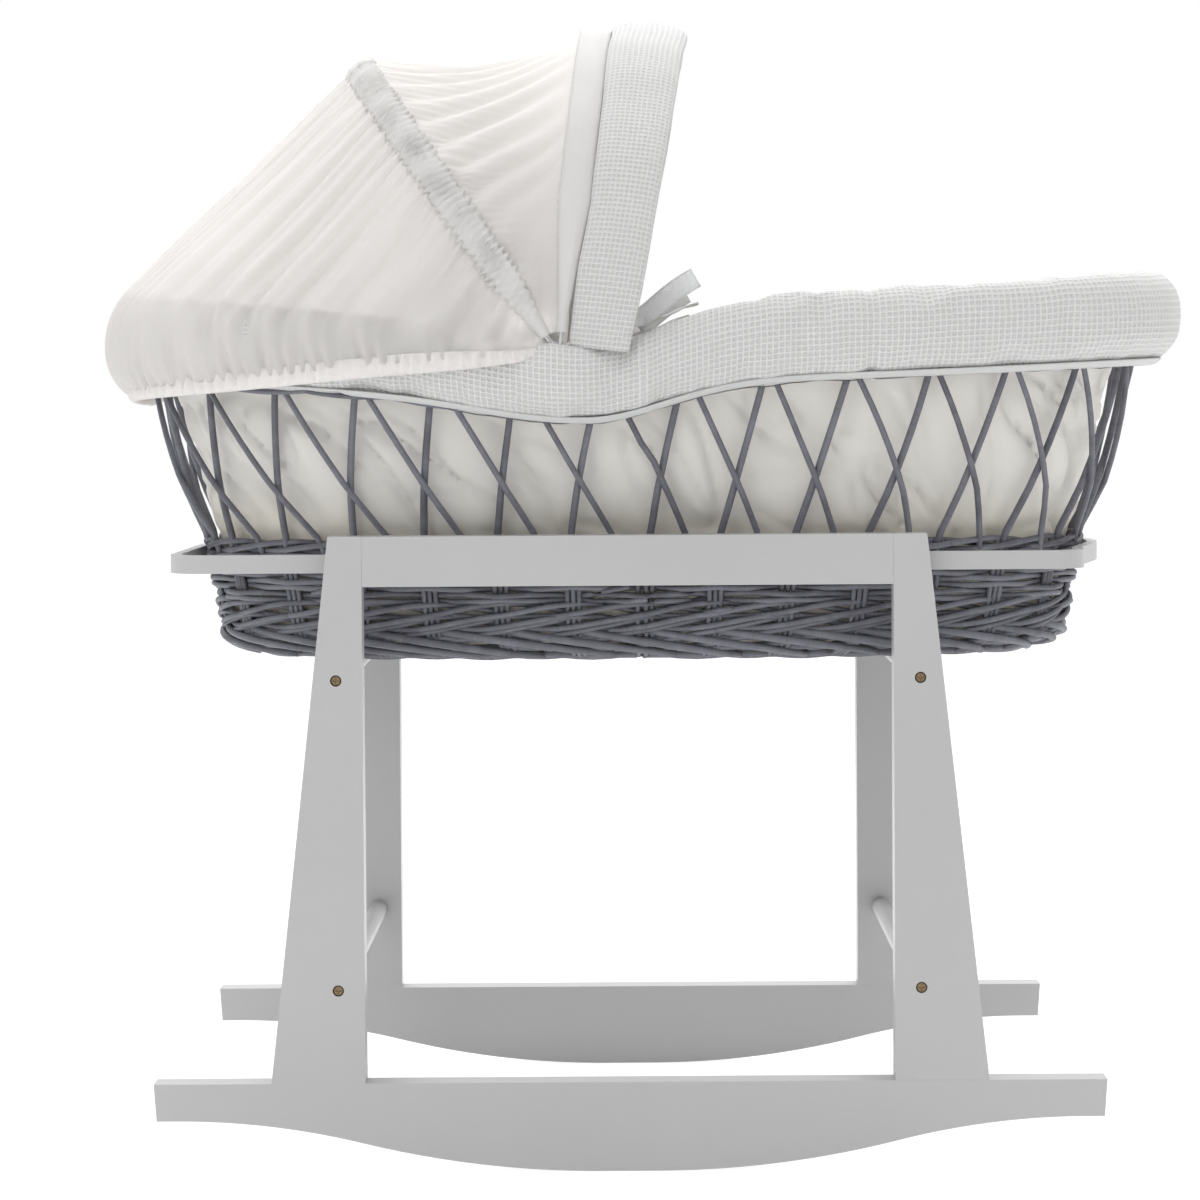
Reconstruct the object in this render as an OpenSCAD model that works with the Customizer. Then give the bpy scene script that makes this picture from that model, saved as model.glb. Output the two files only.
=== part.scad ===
// Bassinet on a rocking stand: an oval wicker basket with a padded rim, a mattress
// and a folding hood, resting on the cross dowels of a pair of rocking frames.
// Row frame: +X towards the foot, -Y is the front, +Z up, floor at Z = 0.

/* [Stand] */
// Width over the outer faces of the two frames
stand_width = 440; // [400:5:560]
// Thickness of the boards that the frames are cut from
board_thick = 22; // [18:1:30]
// Distance between the inner edges of a frame's two legs
leg_gap = 400; // [320:5:480]
// Width of a leg at its foot
leg_foot_width = 71; // [50:1:90]
// Width of a leg at its top
leg_top_width = 25.5; // [22:0.5:45]
// Height of the legs' tops above the floor
stand_height = 480.5; // [440:0.5:520]
// Height of the top rails
rail_height = 38; // [26:1:60]
// How far the stand's middle lies towards the head from the basket's middle
stand_shift = 13; // [0:1:20]

/* [Rockers] */
// Length of each rocker
rocker_length = 720; // [620:10:900]
// Height of a rocker's top edge above the floor
rocker_top = 67.5; // [60:0.5:90]
// Height of a rocker's square end
rocker_end = 28; // [20:1:34]
// Length of the flat that the stand rests on
rocker_flat = 44; // [20:1:80]
// Length of the straight underside at each tip
rocker_tip = 16; // [5:1:30]
// Share of the rise taken by the convex rocking curve
rocking_share = 0.56; // [0.4:0.01:0.7]

/* [Cross dowels and fastenings] */
// Diameter of the cross dowels
dowel_d = 15; // [12:0.5:18]
// Height of the upper dowels' axes, which carry the basket
upper_dowel_z = 372; // [340:0.5:400]
// Height of the lower dowels' axes
lower_dowel_z = 137.7; // [110:0.1:200]
// Distance of a dowel's axis from the inner edge of its leg
dowel_inset = 20; // [12:0.5:24]
// Diameter of the dowel screws' shanks
screw_d = 5; // [4:0.5:6]
// Length of the dowel screws' shanks
screw_length = 50; // [40:1:70]
// Diameter of the dowel screws' heads
screw_head_d = 8; // [7:0.5:10]
// Diameter of the wooden pegs in the frame joints
peg_d = 8; // [6:1:10]
// Length of the wooden pegs
peg_length = 36; // [26:1:40]

/* [End hoops] */
// Height of the bent strips that steady the basket's ends
strip_height = 14; // [10:1:24]
// Thickness of the bent strips
strip_thick = 8; // [6:0.5:10]
// Height of the strips' middle above the floor
strip_z = 459; // [445:0.5:465]
// Distance from the stand's middle to a strip's straight end
strip_reach = 350; // [320:1:380]
// How far the foot strip bows out past its corners
strip_bow = 31; // [0:1:40]
// Outer radius of the strips' corners
strip_corner = 30; // [20:1:60]

/* [Basket] */
// Length of the basket's flat bottom
base_length = 620; // [520:5:680]
// Width of the basket's flat bottom
base_width = 270; // [220:5:300]
// Length of the basket where its bottom corner ends
shoulder_length = 688; // [600:2:740]
// Width of the basket where its bottom corner ends
shoulder_width = 336; // [280:2:356]
// Height of the rounded bottom corner
shoulder_height = 25; // [15:1:35]
// Length of the basket at the top of its woven band
band_length = 714; // [620:2:780]
// Width of the basket at the top of its woven band
band_width = 362; // [300:2:376]
// Height of the woven band
band_height = 98; // [70:1:120]
// Length of the basket at the rim
rim_length = 792; // [700:2:900]
// Width of the basket at the rim
rim_width = 410; // [370:2:480]
// Height of the rim at its dips, above the basket's bottom
rim_height = 216; // [180:1:250]
// How far the dips lie towards the head from the basket's middle
dip_back = 45; // [0:1:80]
// How much the rim rises from its dips to the foot
foot_rise = 50; // [10:1:80]
// How much the rim rises from its dips to the head
head_rise = 31; // [10:1:60]
// Half width of the dips towards the foot
foot_dip = 85; // [60:1:140]
// Half width of the dips towards the head
head_dip = 110; // [60:1:140]
// Squareness of the oval, as a superellipse's exponent
oval_power = 3; // [2.2:0.1:4]
// Wall of the woven band
weave_wall = 7; // [5:0.5:9]
// Number of rods in each layer of the open lattice
rod_count = 32; // [20:1:40]
// Diameter of the outer layer's rods
outer_rod_d = 4.8; // [3:0.1:6]
// Diameter of the inner layer's rods
inner_rod_d = 5.6; // [3:0.1:6.4]
// Lean of the outer layer's rods, as sideways run per unit of height
outer_lean = 0.54; // [0.2:0.01:0.8]
// Lean of the inner layer's rods the other way
inner_lean = 0.234; // [0.1:0.002:0.8]
// Height above the woven band at which the two layers cross
cross_height = 45; // [20:1:80]
// Diameter of the wicker rim hoop
rim_hoop_d = 14; // [10:1:16]

/* [Padded rim and liner] */
// How far the padded rim stands out from the rim line at the sides
roll_out = 25; // [18:0.5:32]
// Half height of the padded rim at the sides
roll_half = 34; // [26:0.5:40]
// Extra outward padding at the foot end
roll_out_gain = 8; // [0:0.5:14]
// Extra half height at the foot end, which the head end lacks
roll_half_gain = 6; // [0:0.5:10]
// How far the padded rim reaches inside the rim line
roll_in = 20; // [16:0.5:28]
// Thickness of the liner cloth as a sewn, lightly padded layer
liner_thick = 2; // [1:0.2:4]
// Thickness of the mattress foam
foam_thick = 38; // [20:1:60]
// Thickness of the mattress cover
cover_thick = 1.5; // [1:0.1:3]

/* [Hood] */
// Distance of the hood's pivots from the basket's middle, towards the head
pivot_back = 63; // [20:1:120]
// Height of the hood's pivots above the rim line's lowest point
pivot_rise = 20; // [12:0.5:30]
// Diameter of the pivot pins
pin_d = 5; // [4:0.5:7]
// Radial running clearance of the eyelets on the pins
pin_clearance = 0.08; // [0.03:0.01:0.1]
// Diameter of the hoop wires
wire_d = 3.4; // [2.4:0.2:4]
// Angle of the middle hoop above the foot direction
mid_angle = 125; // [110:1:135]
// Angle of the front hoop above the foot direction
front_angle = 84; // [75:1:95]
// Distance from the pivots' axis to the top of the middle hoop
mid_reach = 286; // [265:1:340]
// Distance from the pivots' axis to the top of the front hoop
front_reach = 265; // [255:1:330]
// Full width of the sewn hoop channels
channel_width = 24; // [16:1:30]
// Width of the quilted front trim at the pivots, from the hoop's plane
trim_foot = 52; // [30:1:70]
// Width of the quilted front trim at the top, from the hoop's plane
trim_top = 72.6; // [40:0.2:90]
// How far the cloth between the hoops sags
hood_sag = 17; // [0:1:30]

/* [Hidden] */
$fn = 64;

// Clearances
seat_gap = 0.3;        // between pieces of different bodies that rest together
layer_gap = 0.3;       // between the stacked layers at a hood pivot
fit_gap = 0.1;         // radial clearance of a screw in its leg
cloth_gap = 0.5;       // between a cloth edge and its neighbour

// Colours
paint_white = "#f4f4f2";
bronze = "#8a6f45";
beech = "#d9b98a";
wicker_grey = "#8d949c";
cloth_white = "#f7f6f3";
cloth_cream = "#efe9dc";
cloth_grey = "#b9bcc0";
steel = "#b8babd";
foam_tint = "#f2ecc8";

// Stand
stand_x = -stand_shift;
inner_face = stand_width / 2 - board_thick;
board_mid = stand_width / 2 - board_thick / 2;
leg_edge = leg_gap / 2;
dowel_x = leg_edge + dowel_inset;
recess_d = screw_head_d + 0.6;
recess_depth = 3.5;
screw_head_h = 2.6;
rail_z = stand_height - rail_height;
peg_inset = leg_foot_width / 4;
strip_screw_d = 3.5;
strip_screw_length = 18;
strip_screw_x = leg_edge + leg_top_width * 0.78;
strip_start = leg_edge + 3;
end_slant = 2;

// Basket
basket_z = upper_dowel_z + dowel_d / 2 + seat_gap;
liner_gap = weave_wall + 2;
ring_steps = 72;
rod_sunk = 8;
rod_start = band_height - rod_sunk;
rod_steps = 4;
rim_tuck = rim_hoop_d / 2 + 0.3;
hem_thick = 3;
roll_power = 0.77;
cover_inner = -126;    // angles from the top between which the padded rim's cover runs
cover_outer = 116;
floor_thick = 1.5;
floor_h = weave_wall + 0.3;
foam_h = floor_h + floor_thick + 0.3;
mattress_gap = 3;

// Hood
pivot = [-pivot_back, 0, basket_z + rim_height + pivot_rise];
plate_thick = 2;
plate_in = rim_width / 2 + roll_out + 1.4;
plate_out = plate_in + plate_thick;
mid_y = plate_out + layer_gap + wire_d / 2;
front_y = mid_y + wire_d + layer_gap;
head_y = front_y + wire_d / 2 + layer_gap;
pin_head_r = 6;
pin_head_h = 1.5;
eye_r = 6;
eye_neck = 16;
channel_start = 26;
channel_foot = 2.9;
channel_half = 3.4;
channel_wall = 1;
cloth_thick = 1.2;
trim_thick = 3;
arch_steps = 44;
hem_r = 3.5;

// ---------- Plain helpers ----------

function mix(a, b, s) = a + (b - a) * s;
function unit(v) = v / norm(v);
function keep_sign(v, p) = sign(v) * pow(abs(v), p);

// Joins a closed or open net of points into one skin. A net is rows of equal length.
function net_faces(rows, cols, start, wrap_rows, wrap_cols, flip) = [
    for (i = [0:rows - (wrap_rows ? 1 : 2)])
        for (j = [0:cols - (wrap_cols ? 1 : 2)])
            let (a = start + i * cols + j,
                 b = start + i * cols + (j + 1) % cols,
                 c = start + ((i + 1) % rows) * cols + (j + 1) % cols,
                 d = start + ((i + 1) % rows) * cols + j)
            each flip ? [[a, c, b], [a, d, c]] : [[a, b, c], [a, c, d]]
];

// A wall between an outer and an inner net, closed along every free edge.
module wall_between(outer, inner, wrap_rows = false, wrap_cols = false) {
    rows = len(outer);
    cols = len(outer[0]);
    half = rows * cols;
    row_edges = wrap_rows ? [] : [
        for (i = [0, rows - 1])
            for (j = [0:cols - (wrap_cols ? 1 : 2)])
                let (a = i * cols + j, b = i * cols + (j + 1) % cols)
                each i == 0 ? [[a, a + half, b], [b, a + half, b + half]]
                            : [[a, b, a + half], [b, b + half, a + half]]
    ];
    col_edges = wrap_cols ? [] : [
        for (j = [0, cols - 1])
            for (i = [0:rows - (wrap_rows ? 1 : 2)])
                let (a = i * cols + j, b = ((i + 1) % rows) * cols + j)
                each j == 0 ? [[a, b, a + half], [b, b + half, a + half]]
                            : [[a, a + half, b], [b, a + half, b + half]]
    ];
    polyhedron(
        points = [for (r = outer) each r, for (r = inner) each r],
        faces = concat(
            net_faces(rows, cols, 0, wrap_rows, wrap_cols, false),
            net_faces(rows, cols, half, wrap_rows, wrap_cols, true),
            row_edges, col_edges),
        convexity = 8);
}

// A solid bar through a list of rings, capped at both ends unless it is a closed loop.
module bar_through(rings, closed = false) {
    rows = len(rings);
    cols = len(rings[0]);
    caps = closed ? [] : [[for (j = [cols - 1:-1:0]) j], [for (j = [0:cols - 1]) (rows - 1) * cols + j]];
    polyhedron(
        points = [for (r = rings) each r],
        faces = concat(net_faces(rows, cols, 0, closed, true, false), caps),
        convexity = 8);
}

// A ring of points round p, in the plane of the directions u and v.
function ring_at(p, u, v, r, sides) = [
    for (k = [0:sides - 1]) p + u * r * cos(360 * k / sides) + v * r * sin(360 * k / sides)
];

// Copies its child to the front and the rear frame.
module both_frames() {
    children();
    mirror([0, 1, 0]) children();
}

// ---------- Stand ----------

// Height of a rocker's underside at a distance x from its middle.
function underside(x) =
    let (run = rocker_length / 2 - rocker_tip - rocker_flat / 2,
         rise = rocker_top - rocker_end,
         slope = 2 * atan(rise / run),
         radii = run / sin(slope),
         r_low = radii * rocking_share,
         r_high = radii - r_low,
         d = min(max(abs(x) - rocker_flat / 2, 0), run))
    d < r_low * sin(slope)
        ? r_low - sqrt(r_low * r_low - d * d)
        : rise - r_high + sqrt(r_high * r_high - (run - d) * (run - d));

function rocker_outline() =
    let (half = rocker_length / 2, steps = 120)
    concat(
        [[-half + end_slant, underside(half)]],
        [for (i = [1:steps - 1]) let (x = mix(-half, half, i / steps)) [x, underside(x)]],
        [[half - end_slant, underside(half)], [half, rocker_top], [-half, rocker_top]]);

// A flat board: its outline in X and Z, standing between the two faces of the front frame.
module board(outline) {
    translate([stand_x, -inner_face, 0])
        rotate([90, 0, 0])
            linear_extrude(board_thick) polygon(outline);
}

function peg_places() = [
    for (side = [-1, 1])
        for (k = [1, 3]) side * (leg_edge + peg_inset * k)
];

module rocker_peg_set(clear = 0) {
    for (x = peg_places())
        translate([stand_x + x, -board_mid, rocker_top - peg_length / 2 - clear])
            cylinder(d = peg_d, h = peg_length + 2 * clear);
}

module rail_peg_set(clear = 0) {
    for (side = [-1, 1])
        translate([stand_x + side * (leg_edge - 3), -board_mid, rail_z + rail_height / 2])
            rotate([0, 90, 0])
                cylinder(d = peg_d, h = peg_length * 0.75 + 2 * clear, center = true);
}

module rocker() {
    color(paint_white) difference() {
        board(rocker_outline());
        rocker_peg_set(0.5);
    }
}

// One leg of the front frame; side is -1 for the head and 1 for the foot.
module leg(side) {
    color(paint_white) difference() {
        board([for (p = [
            [leg_edge, rocker_top], [leg_edge + leg_foot_width, rocker_top],
            [leg_edge + leg_top_width, stand_height], [leg_edge, stand_height]])
            [side * p[0], p[1]]]);
        for (z = [lower_dowel_z, upper_dowel_z])
            translate([stand_x + side * dowel_x, -inner_face + 1, z])
                rotate([90, 0, 0]) {
                    cylinder(d = screw_d + 2 * fit_gap, h = board_thick + 2);
                    translate([0, 0, board_thick + 1 - recess_depth])
                        cylinder(d = recess_d, h = recess_depth + 1);
                }
        rocker_peg_set(0.5);
        rail_peg_set(0.5);
        strip_screw_set(side);
    }
}

module top_rail() {
    color(paint_white) difference() {
        board([[-leg_edge, rail_z], [leg_edge, rail_z], [leg_edge, stand_height], [-leg_edge, stand_height]]);
        rail_peg_set(0.5);
    }
}

// A cross dowel between the frames, drilled at both ends for its screws.
module dowel(side, z) {
    grip = screw_length - (board_thick - recess_depth);
    color(paint_white) difference() {
        translate([stand_x + side * dowel_x, inner_face, z])
            rotate([90, 0, 0]) cylinder(d = dowel_d, h = 2 * inner_face);
        both_frames()
            translate([stand_x + side * dowel_x, -inner_face - 1, z])
                rotate([-90, 0, 0]) cylinder(d = screw_d, h = grip + 1.5);
    }
}

// A screw along +Y with a domed, cross-slotted head.
module dowel_screw() {
    rotate([-90, 0, 0]) difference() {
        union() {
            cylinder(d = screw_d, h = screw_length);
            translate([0, 0, -screw_head_h]) cylinder(d1 = screw_head_d * 0.8, d2 = screw_head_d, h = 1);
            translate([0, 0, 1 - screw_head_h]) cylinder(d = screw_head_d, h = screw_head_h - 1);
        }
        for (turn = [0, 90])
            rotate([0, 0, turn])
                translate([-screw_head_d * 0.31, -0.55, -screw_head_h - 1])
                    cube([screw_head_d * 0.62, 1.1, 2.4]);
    }
}

module dowel_screws() {
    color(bronze) both_frames()
        for (side = [-1, 1])
            for (z = [lower_dowel_z, upper_dowel_z])
                translate([stand_x + side * dowel_x, -stand_width / 2 + recess_depth, z])
                    dowel_screw();
}

// The two small screws that hold a strip's arms to the front legs' inner faces.
module strip_screw_set(side) {
    translate([stand_x + side * strip_screw_x, -inner_face + strip_thick, strip_z])
        rotate([90, 0, 0]) cylinder(d = strip_screw_d, h = strip_screw_length);
}

module hoop_screws() {
    color(bronze) both_frames()
        for (side = [-1, 1]) {
            strip_screw_set(side);
            translate([stand_x + side * strip_screw_x, -inner_face + strip_thick + 1.6, strip_z])
                rotate([90, 0, 0]) cylinder(d = strip_screw_d * 2, h = 1.6);
        }
}

module rocker_pegs() {
    color(beech) both_frames() rocker_peg_set();
}

module rail_pegs() {
    color(beech) both_frames() rail_peg_set();
}

// The path of a strip's outer edge, as [point, outward direction], from the front arm to the rear.
function strip_path(bow) =
    let (arm = inner_face, straight = arm - strip_corner, turns = 12, across = 20)
    concat(
        [[[strip_start, -arm], [0, -1]]],
        [for (k = [0:turns]) let (a = -90 + 90 * k / turns)
            [[strip_reach - strip_corner + strip_corner * cos(a), -straight + strip_corner * sin(a)],
             [cos(a), sin(a)]]],
        [for (k = [1:across - 1]) let (y = mix(-straight, straight, k / across), s = y / straight)
            [[strip_reach + bow * (1 - s * s) * (1 - s * s), y],
             unit([1, 4 * bow * s * (1 - s * s) / straight])]],
        [for (k = [0:turns]) let (a = 90 * k / turns)
            [[strip_reach - strip_corner + strip_corner * cos(a), straight + strip_corner * sin(a)],
             [cos(a), sin(a)]]],
        [[[strip_start, arm], [0, 1]]]);

module end_hoop(side, bow) {
    path = strip_path(bow);
    color(paint_white) difference() {
        translate([stand_x, 0, strip_z - strip_height / 2])
            linear_extrude(strip_height)
                polygon([
                    for (p = concat(
                        [for (q = path) q[0]],
                        [for (k = [len(path) - 1:-1:0]) path[k][0] - path[k][1] * strip_thick]))
                    [side * p[0], p[1]]]);
        both_frames() strip_screw_set(side);
    }
}

// ---------- Basket wall ----------

// Plan coordinates of the oval at angle t, as shares of its half length and half width.
function oval(t) = [keep_sign(cos(t), 2 / oval_power), keep_sign(sin(t), 2 / oval_power)];

// Outward direction in plan of an oval with half length a and half width b.
function oval_out(t, a, b) =
    let (p = oval(t), e = oval_power - 1)
    unit([keep_sign(p[0], e) / a, keep_sign(p[1], e) / b, 0]);

// Share of the flare reached at height h above the base, for a wall that ends at height top.
function flare(h, top) = 1 - pow(max(0, 1 - (h - band_height) / (top - band_height)), 1.5);

// Half size of the wall at height h, set in by d from its outer face.
function wall_half(h, d, base, shoulder, band, rim, top) =
    h < shoulder_height
        ? base / 2 + ((shoulder - base) / 2 - d)
            * sqrt(max(0, 1 - pow((shoulder_height - h) / (shoulder_height - d), 2)))
    : h < band_height
        ? mix(shoulder, band, (h - shoulder_height) / (band_height - shoulder_height)) / 2 - d
        : mix(band, rim, flare(h, top)) / 2 - d;

function wall_point(t, h, d) = [
    oval(t)[0] * wall_half(h, d, base_length, shoulder_length, band_length, rim_length, rim_height + foot_rise),
    oval(t)[1] * wall_half(h, d, base_width, shoulder_width, band_width, rim_width, rim_height),
    basket_z + h
];

// Sideways run of the wall per unit of height, at angle t and height h.
function wall_slope(t, h) =
    let (d = wall_point(t, h + 1, 0) - wall_point(t, h, 0)) norm([d[0], d[1]]);

// Height of the rim line above the base at length x: a rounded dip, then a slow rise to each end.
function rim_level_at(x) =
    let (u = x + dip_back, forwards = u > 0,
         rise = forwards ? foot_rise : head_rise,
         dip = forwards ? foot_dip : head_dip,
         run = rim_length / 2 + (forwards ? dip_back : -dip_back))
    rim_height + rise * (0.6 * (1 - exp(-pow(u / dip, 2))) + 0.4 * pow(u / run, 2));

// The same height at angle t round the oval.
function rim_level(t) = rim_level_at(oval(t)[0] * rim_length / 2);

function rim_point(t) = [oval(t)[0] * rim_length / 2, oval(t)[1] * rim_width / 2, basket_z + rim_level(t)];

function rim_out(t) = oval_out(t, rim_length / 2, rim_width / 2);

// Angles evenly spaced by arc length round the rim.
sample_count = 360;
samples = [for (i = [0:sample_count]) rim_point(360 * i / sample_count)];
steps_along = [for (i = [0:sample_count - 1]) norm(samples[i + 1] - samples[i])];
function running_total(list, i = 0, total = 0) =
    i > len(list) ? [] : concat([[total, 360 * i / sample_count]],
        running_total(list, i + 1, total + (i < len(list) ? list[i] : 0)));
arc_table = running_total(steps_along);
rim_around = arc_table[sample_count][0];
function angle_along(s) =
    let (turns = floor(s / rim_around))
    lookup(s - turns * rim_around, arc_table) + 360 * turns;

ring_angles = [for (i = [0:ring_steps - 1]) angle_along(rim_around * i / ring_steps)];

// Heights of the rounded bottom corner, for a wall set in by d.
function corner_levels(d) = [
    for (a = [0, 25, 50, 75, 90]) shoulder_height - (shoulder_height - d) * cos(a)
];

module oval_plate(length, width, thick) {
    linear_extrude(thick)
        polygon([for (t = ring_angles) [oval(t)[0] * length / 2, oval(t)[1] * width / 2]]);
}

module basket_base() {
    color(wicker_grey) translate([0, 0, basket_z])
        oval_plate(base_length - 0.4, base_width - 0.4, weave_wall);
}

module lower_weave() {
    outer = [for (h = concat(corner_levels(0), [60, band_height])) [for (t = ring_angles) wall_point(t, h, 0)]];
    inner = [for (h = concat(corner_levels(weave_wall), [60, band_height]))
        [for (t = ring_angles) wall_point(t, h, weave_wall)]];
    color(wicker_grey) wall_between(inner, outer, wrap_cols = true);
}

// A rod of the lattice that climbs the wall from arc position s, leaning round it by lean per unit of
// height, set into the wall by depth_low at its foot and by depth_high from where the layers cross.
module lattice_rod(s, lean, depth_low, depth_high, d) {
    path = [for (k = [0:rod_steps])
        let (climb = rim_level(angle_along(s)) - rim_tuck - rod_start,
             rise = climb * k / rod_steps,
             t = angle_along(s + lean * rise),
             level = min(rod_start + rise, rim_level(t) - rim_tuck - d / 2),
             depth = mix(depth_low, depth_high, min(1, rise / cross_height)))
        wall_point(t, level, depth * norm([1, wall_slope(t, level)]))];
    rings = [for (k = [0:rod_steps])
        let (along = unit(path[min(k + 1, rod_steps)] - path[max(k - 1, 0)]),
             out = unit(cross(along, [path[k][1], -path[k][0], 0])),
             across = cross(along, out))
        ring_at(path[k], across, out, d / 2, 6)];
    bar_through(rings);
}

module lattice(lean, phase, depth_low, depth_high, d) {
    for (i = [0:rod_count - 1])
        lattice_rod(rim_around * i / rod_count + phase, lean, depth_low, depth_high, d);
}

module outer_rods() {
    phase = (outer_lean + inner_lean) * (cross_height + rod_sunk);
    color(wicker_grey) lattice(-outer_lean, phase, weave_wall / 2, -outer_rod_d / 2 - 0.2, outer_rod_d);
}

module inner_rods() {
    color(wicker_grey) lattice(inner_lean, 0, weave_wall / 2, inner_rod_d / 2 + 0.2, inner_rod_d);
}

module rim_hoop() {
    color(wicker_grey) bar_through(
        [for (t = ring_angles) ring_at(rim_point(t), rim_out(t), [0, 0, 1], rim_hoop_d / 2, 10)],
        closed = true);
}

// ---------- Padded rim, liner and mattress ----------

// How far the place at angle t lies towards the foot: 1 at the foot, 0 at the sides and -1 at the head.
function footward(t) = let (x = oval(t)[0]) x * abs(x);

// Half height of the padded rim at angle t.
function roll_height(t) = roll_half + roll_half_gain * footward(t);

// A point on the padded rim's skin: a is measured from the top, positive outwards.
function roll_point(t, a, swell = 0) =
    let (w = (a > 0 ? roll_out + roll_out_gain * max(0, footward(t)) : roll_in) + swell,
         h = roll_height(t) + swell)
    rim_point(t) + rim_out(t) * w * keep_sign(sin(a), roll_power)
        + [0, 0, h * keep_sign(cos(a), roll_power)];

// A point on the hollow inside the padded rim, clear of the wicker hoop.
function roll_core(t, a) =
    rim_point(t) + (rim_out(t) * sin(a) + [0, 0, cos(a)]) * (rim_hoop_d / 2 + 1.6);

module rim_cover() {
    angles = [for (k = [0:10]) mix(cover_inner, cover_outer, k / 10)];
    color(cloth_white) wall_between(
        [for (a = angles) [for (t = ring_angles) roll_point(t, a)]],
        [for (a = angles) [for (t = ring_angles) roll_core(t, a)]],
        wrap_cols = true);
}

// The plain hem that closes the padded rim's outer side and hangs just below it.
module rim_hem() {
    angles = [for (k = [0:2]) cover_outer + 2 + 13 * k];
    function lip(t, o, z) = rim_point(t) + rim_out(t) * o + [0, 0, z - roll_height(t)];
    color(cloth_grey) wall_between(
        concat([for (a = angles) [for (t = ring_angles) roll_point(t, a)]],
            [[for (t = ring_angles) lip(t, 10, -1)]]),
        concat([for (a = angles) [for (t = ring_angles) roll_point(t, a, -hem_thick)]],
            [[for (t = ring_angles) lip(t, 10 - hem_thick, 0)]]),
        wrap_cols = true);
}

module liner_wall() {
    // The liner ends just below the padded rim's inner edge, where it is sewn on.
    function top(t) = rim_level(t) + roll_height(t) * keep_sign(cos(cover_inner), roll_power) - cloth_gap;
    function level(t, s) = mix(band_height, top(t), s);
    function net(d) = concat(
        [for (h = concat(corner_levels(d + 0.1), [60])) [for (t = ring_angles) wall_point(t, h, d)]],
        [for (s = [0, 1 / 3, 2 / 3, 1]) [for (t = ring_angles) wall_point(t, level(t, s), d)]]);
    color(cloth_cream) wall_between(net(liner_gap + liner_thick), net(liner_gap), wrap_cols = true);
}

module liner_floor() {
    color(cloth_cream) translate([0, 0, basket_z + floor_h])
        oval_plate(base_length - 1, base_width - 1, floor_thick);
}

// Size of the mattress: it lies on the flat of the bottom, inside the liner's rounded corner.
bed_length = base_length - 2 * mattress_gap;
bed_width = base_width - 2 * mattress_gap;

module mattress_foam() {
    color(foam_tint) translate([0, 0, basket_z + foam_h])
        oval_plate(bed_length - 2 * cover_thick - 1, bed_width - 2 * cover_thick - 1, foam_thick);
}

module mattress_cover() {
    color(cloth_white) translate([0, 0, basket_z + foam_h]) difference() {
        oval_plate(bed_length, bed_width, foam_thick + cover_thick + 0.3);
        translate([0, 0, -1])
            oval_plate(bed_length - 2 * cover_thick, bed_width - 2 * cover_thick, foam_thick + 1.3);
    }
}

// ---------- Hood ----------

// Directions of a hoop's plane at the given angle: up the hoop, and forwards out of its plane.
function up_hoop(angle) = [cos(angle), 0, sin(angle)];
function off_hoop(angle) = [sin(angle), 0, -cos(angle)];

// Places its child in a hoop's plane: local X along the pivots' axis, local Y up the hoop.
module in_hoop(angle) {
    u = up_hoop(angle);
    f = off_hoop(angle);
    multmatrix([[0, u[0], f[0], pivot[0]], [1, 0, 0, 0], [0, u[2], f[2], pivot[2]], [0, 0, 0, 1]])
        children();
}

// Length of a hoop from eye to eye: straight arms and a half round top.
function hoop_length(y, reach) = 2 * (reach - y) + PI * y;

// The point at distance s along a hoop and the outward direction there, in the hoop's plane.
function hoop_at(s, y, reach) =
    let (arm = reach - y, a = (s - arm) / y * 180 / PI)
    s < arm ? [[y, s], [1, 0]]
    : s > arm + PI * y ? [[-y, 2 * arm + PI * y - s], [-1, 0]]
    : [[y * cos(a), arm + y * sin(a)], [cos(a), sin(a)]];

// A point near a hoop: lift is outwards in its plane, off is forwards out of it.
function near_hoop(s, y, reach, angle, lift, off) =
    let (q = hoop_at(s, y, reach), p = q[0] + q[1] * lift)
    [pivot[0], p[0], pivot[2]] + up_hoop(angle) * p[1] + off_hoop(angle) * off;

// Half width of a hoop's channel at distance s from the nearer eye.
function channel_at(s) = min(channel_width / 2, channel_foot + 0.1 * (s - channel_start));

function from_end(s, y, reach) = min(s, hoop_length(y, reach) - s);

function stations(y, reach, start) = [
    for (i = [0:arch_steps]) mix(start, hoop_length(y, reach) - start, i / arch_steps)
];

// A bent wire hoop, from the end of one crimped eye to the other.
module wire_hoop(y, reach, angle) {
    color(steel) bar_through([
        for (s = stations(y, reach, eye_neck))
            let (out = near_hoop(s, y, reach, angle, 1, 0) - near_hoop(s, y, reach, angle, 0, 0))
            ring_at(near_hoop(s, y, reach, angle, 0, 0), out, off_hoop(angle), wire_d / 2, 8)]);
}

// The two crimped eyes of a hoop, which turn on the pivot pins.
module hoop_eyes(y, angle) {
    color(steel) in_hoop(angle)
        for (side = [-1, 1])
            translate([side * y, 0, 0]) difference() {
                union() {
                    translate([0, eye_r - 1, 0]) rotate([-90, 0, 0]) cylinder(d = wire_d, h = eye_neck - eye_r + 1);
                    rotate([0, 90, 0]) cylinder(r = eye_r, h = wire_d - 0.4, center = true);
                }
                rotate([0, 90, 0]) cylinder(d = pin_d + 2 * pin_clearance, h = wire_d + 2, center = true);
            }
}

// A sewn channel round a hoop, open at both ends where the wire comes out.
module hoop_channel(y, reach, angle) {
    function section(s, shrink) =
        let (w = channel_at(from_end(s, y, reach)) - shrink, t = channel_half - shrink)
        [for (k = [0:9]) near_hoop(s, y, reach, angle, t * cos(36 * k), w * sin(36 * k))];
    wall_between(
        [for (s = stations(y, reach, channel_start)) section(s, 0)],
        [for (s = stations(y, reach, channel_start)) section(s, channel_wall)],
        wrap_cols = true);
}

module mid_hoop() {
    wire_hoop(mid_y, mid_reach, mid_angle);
}

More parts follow.
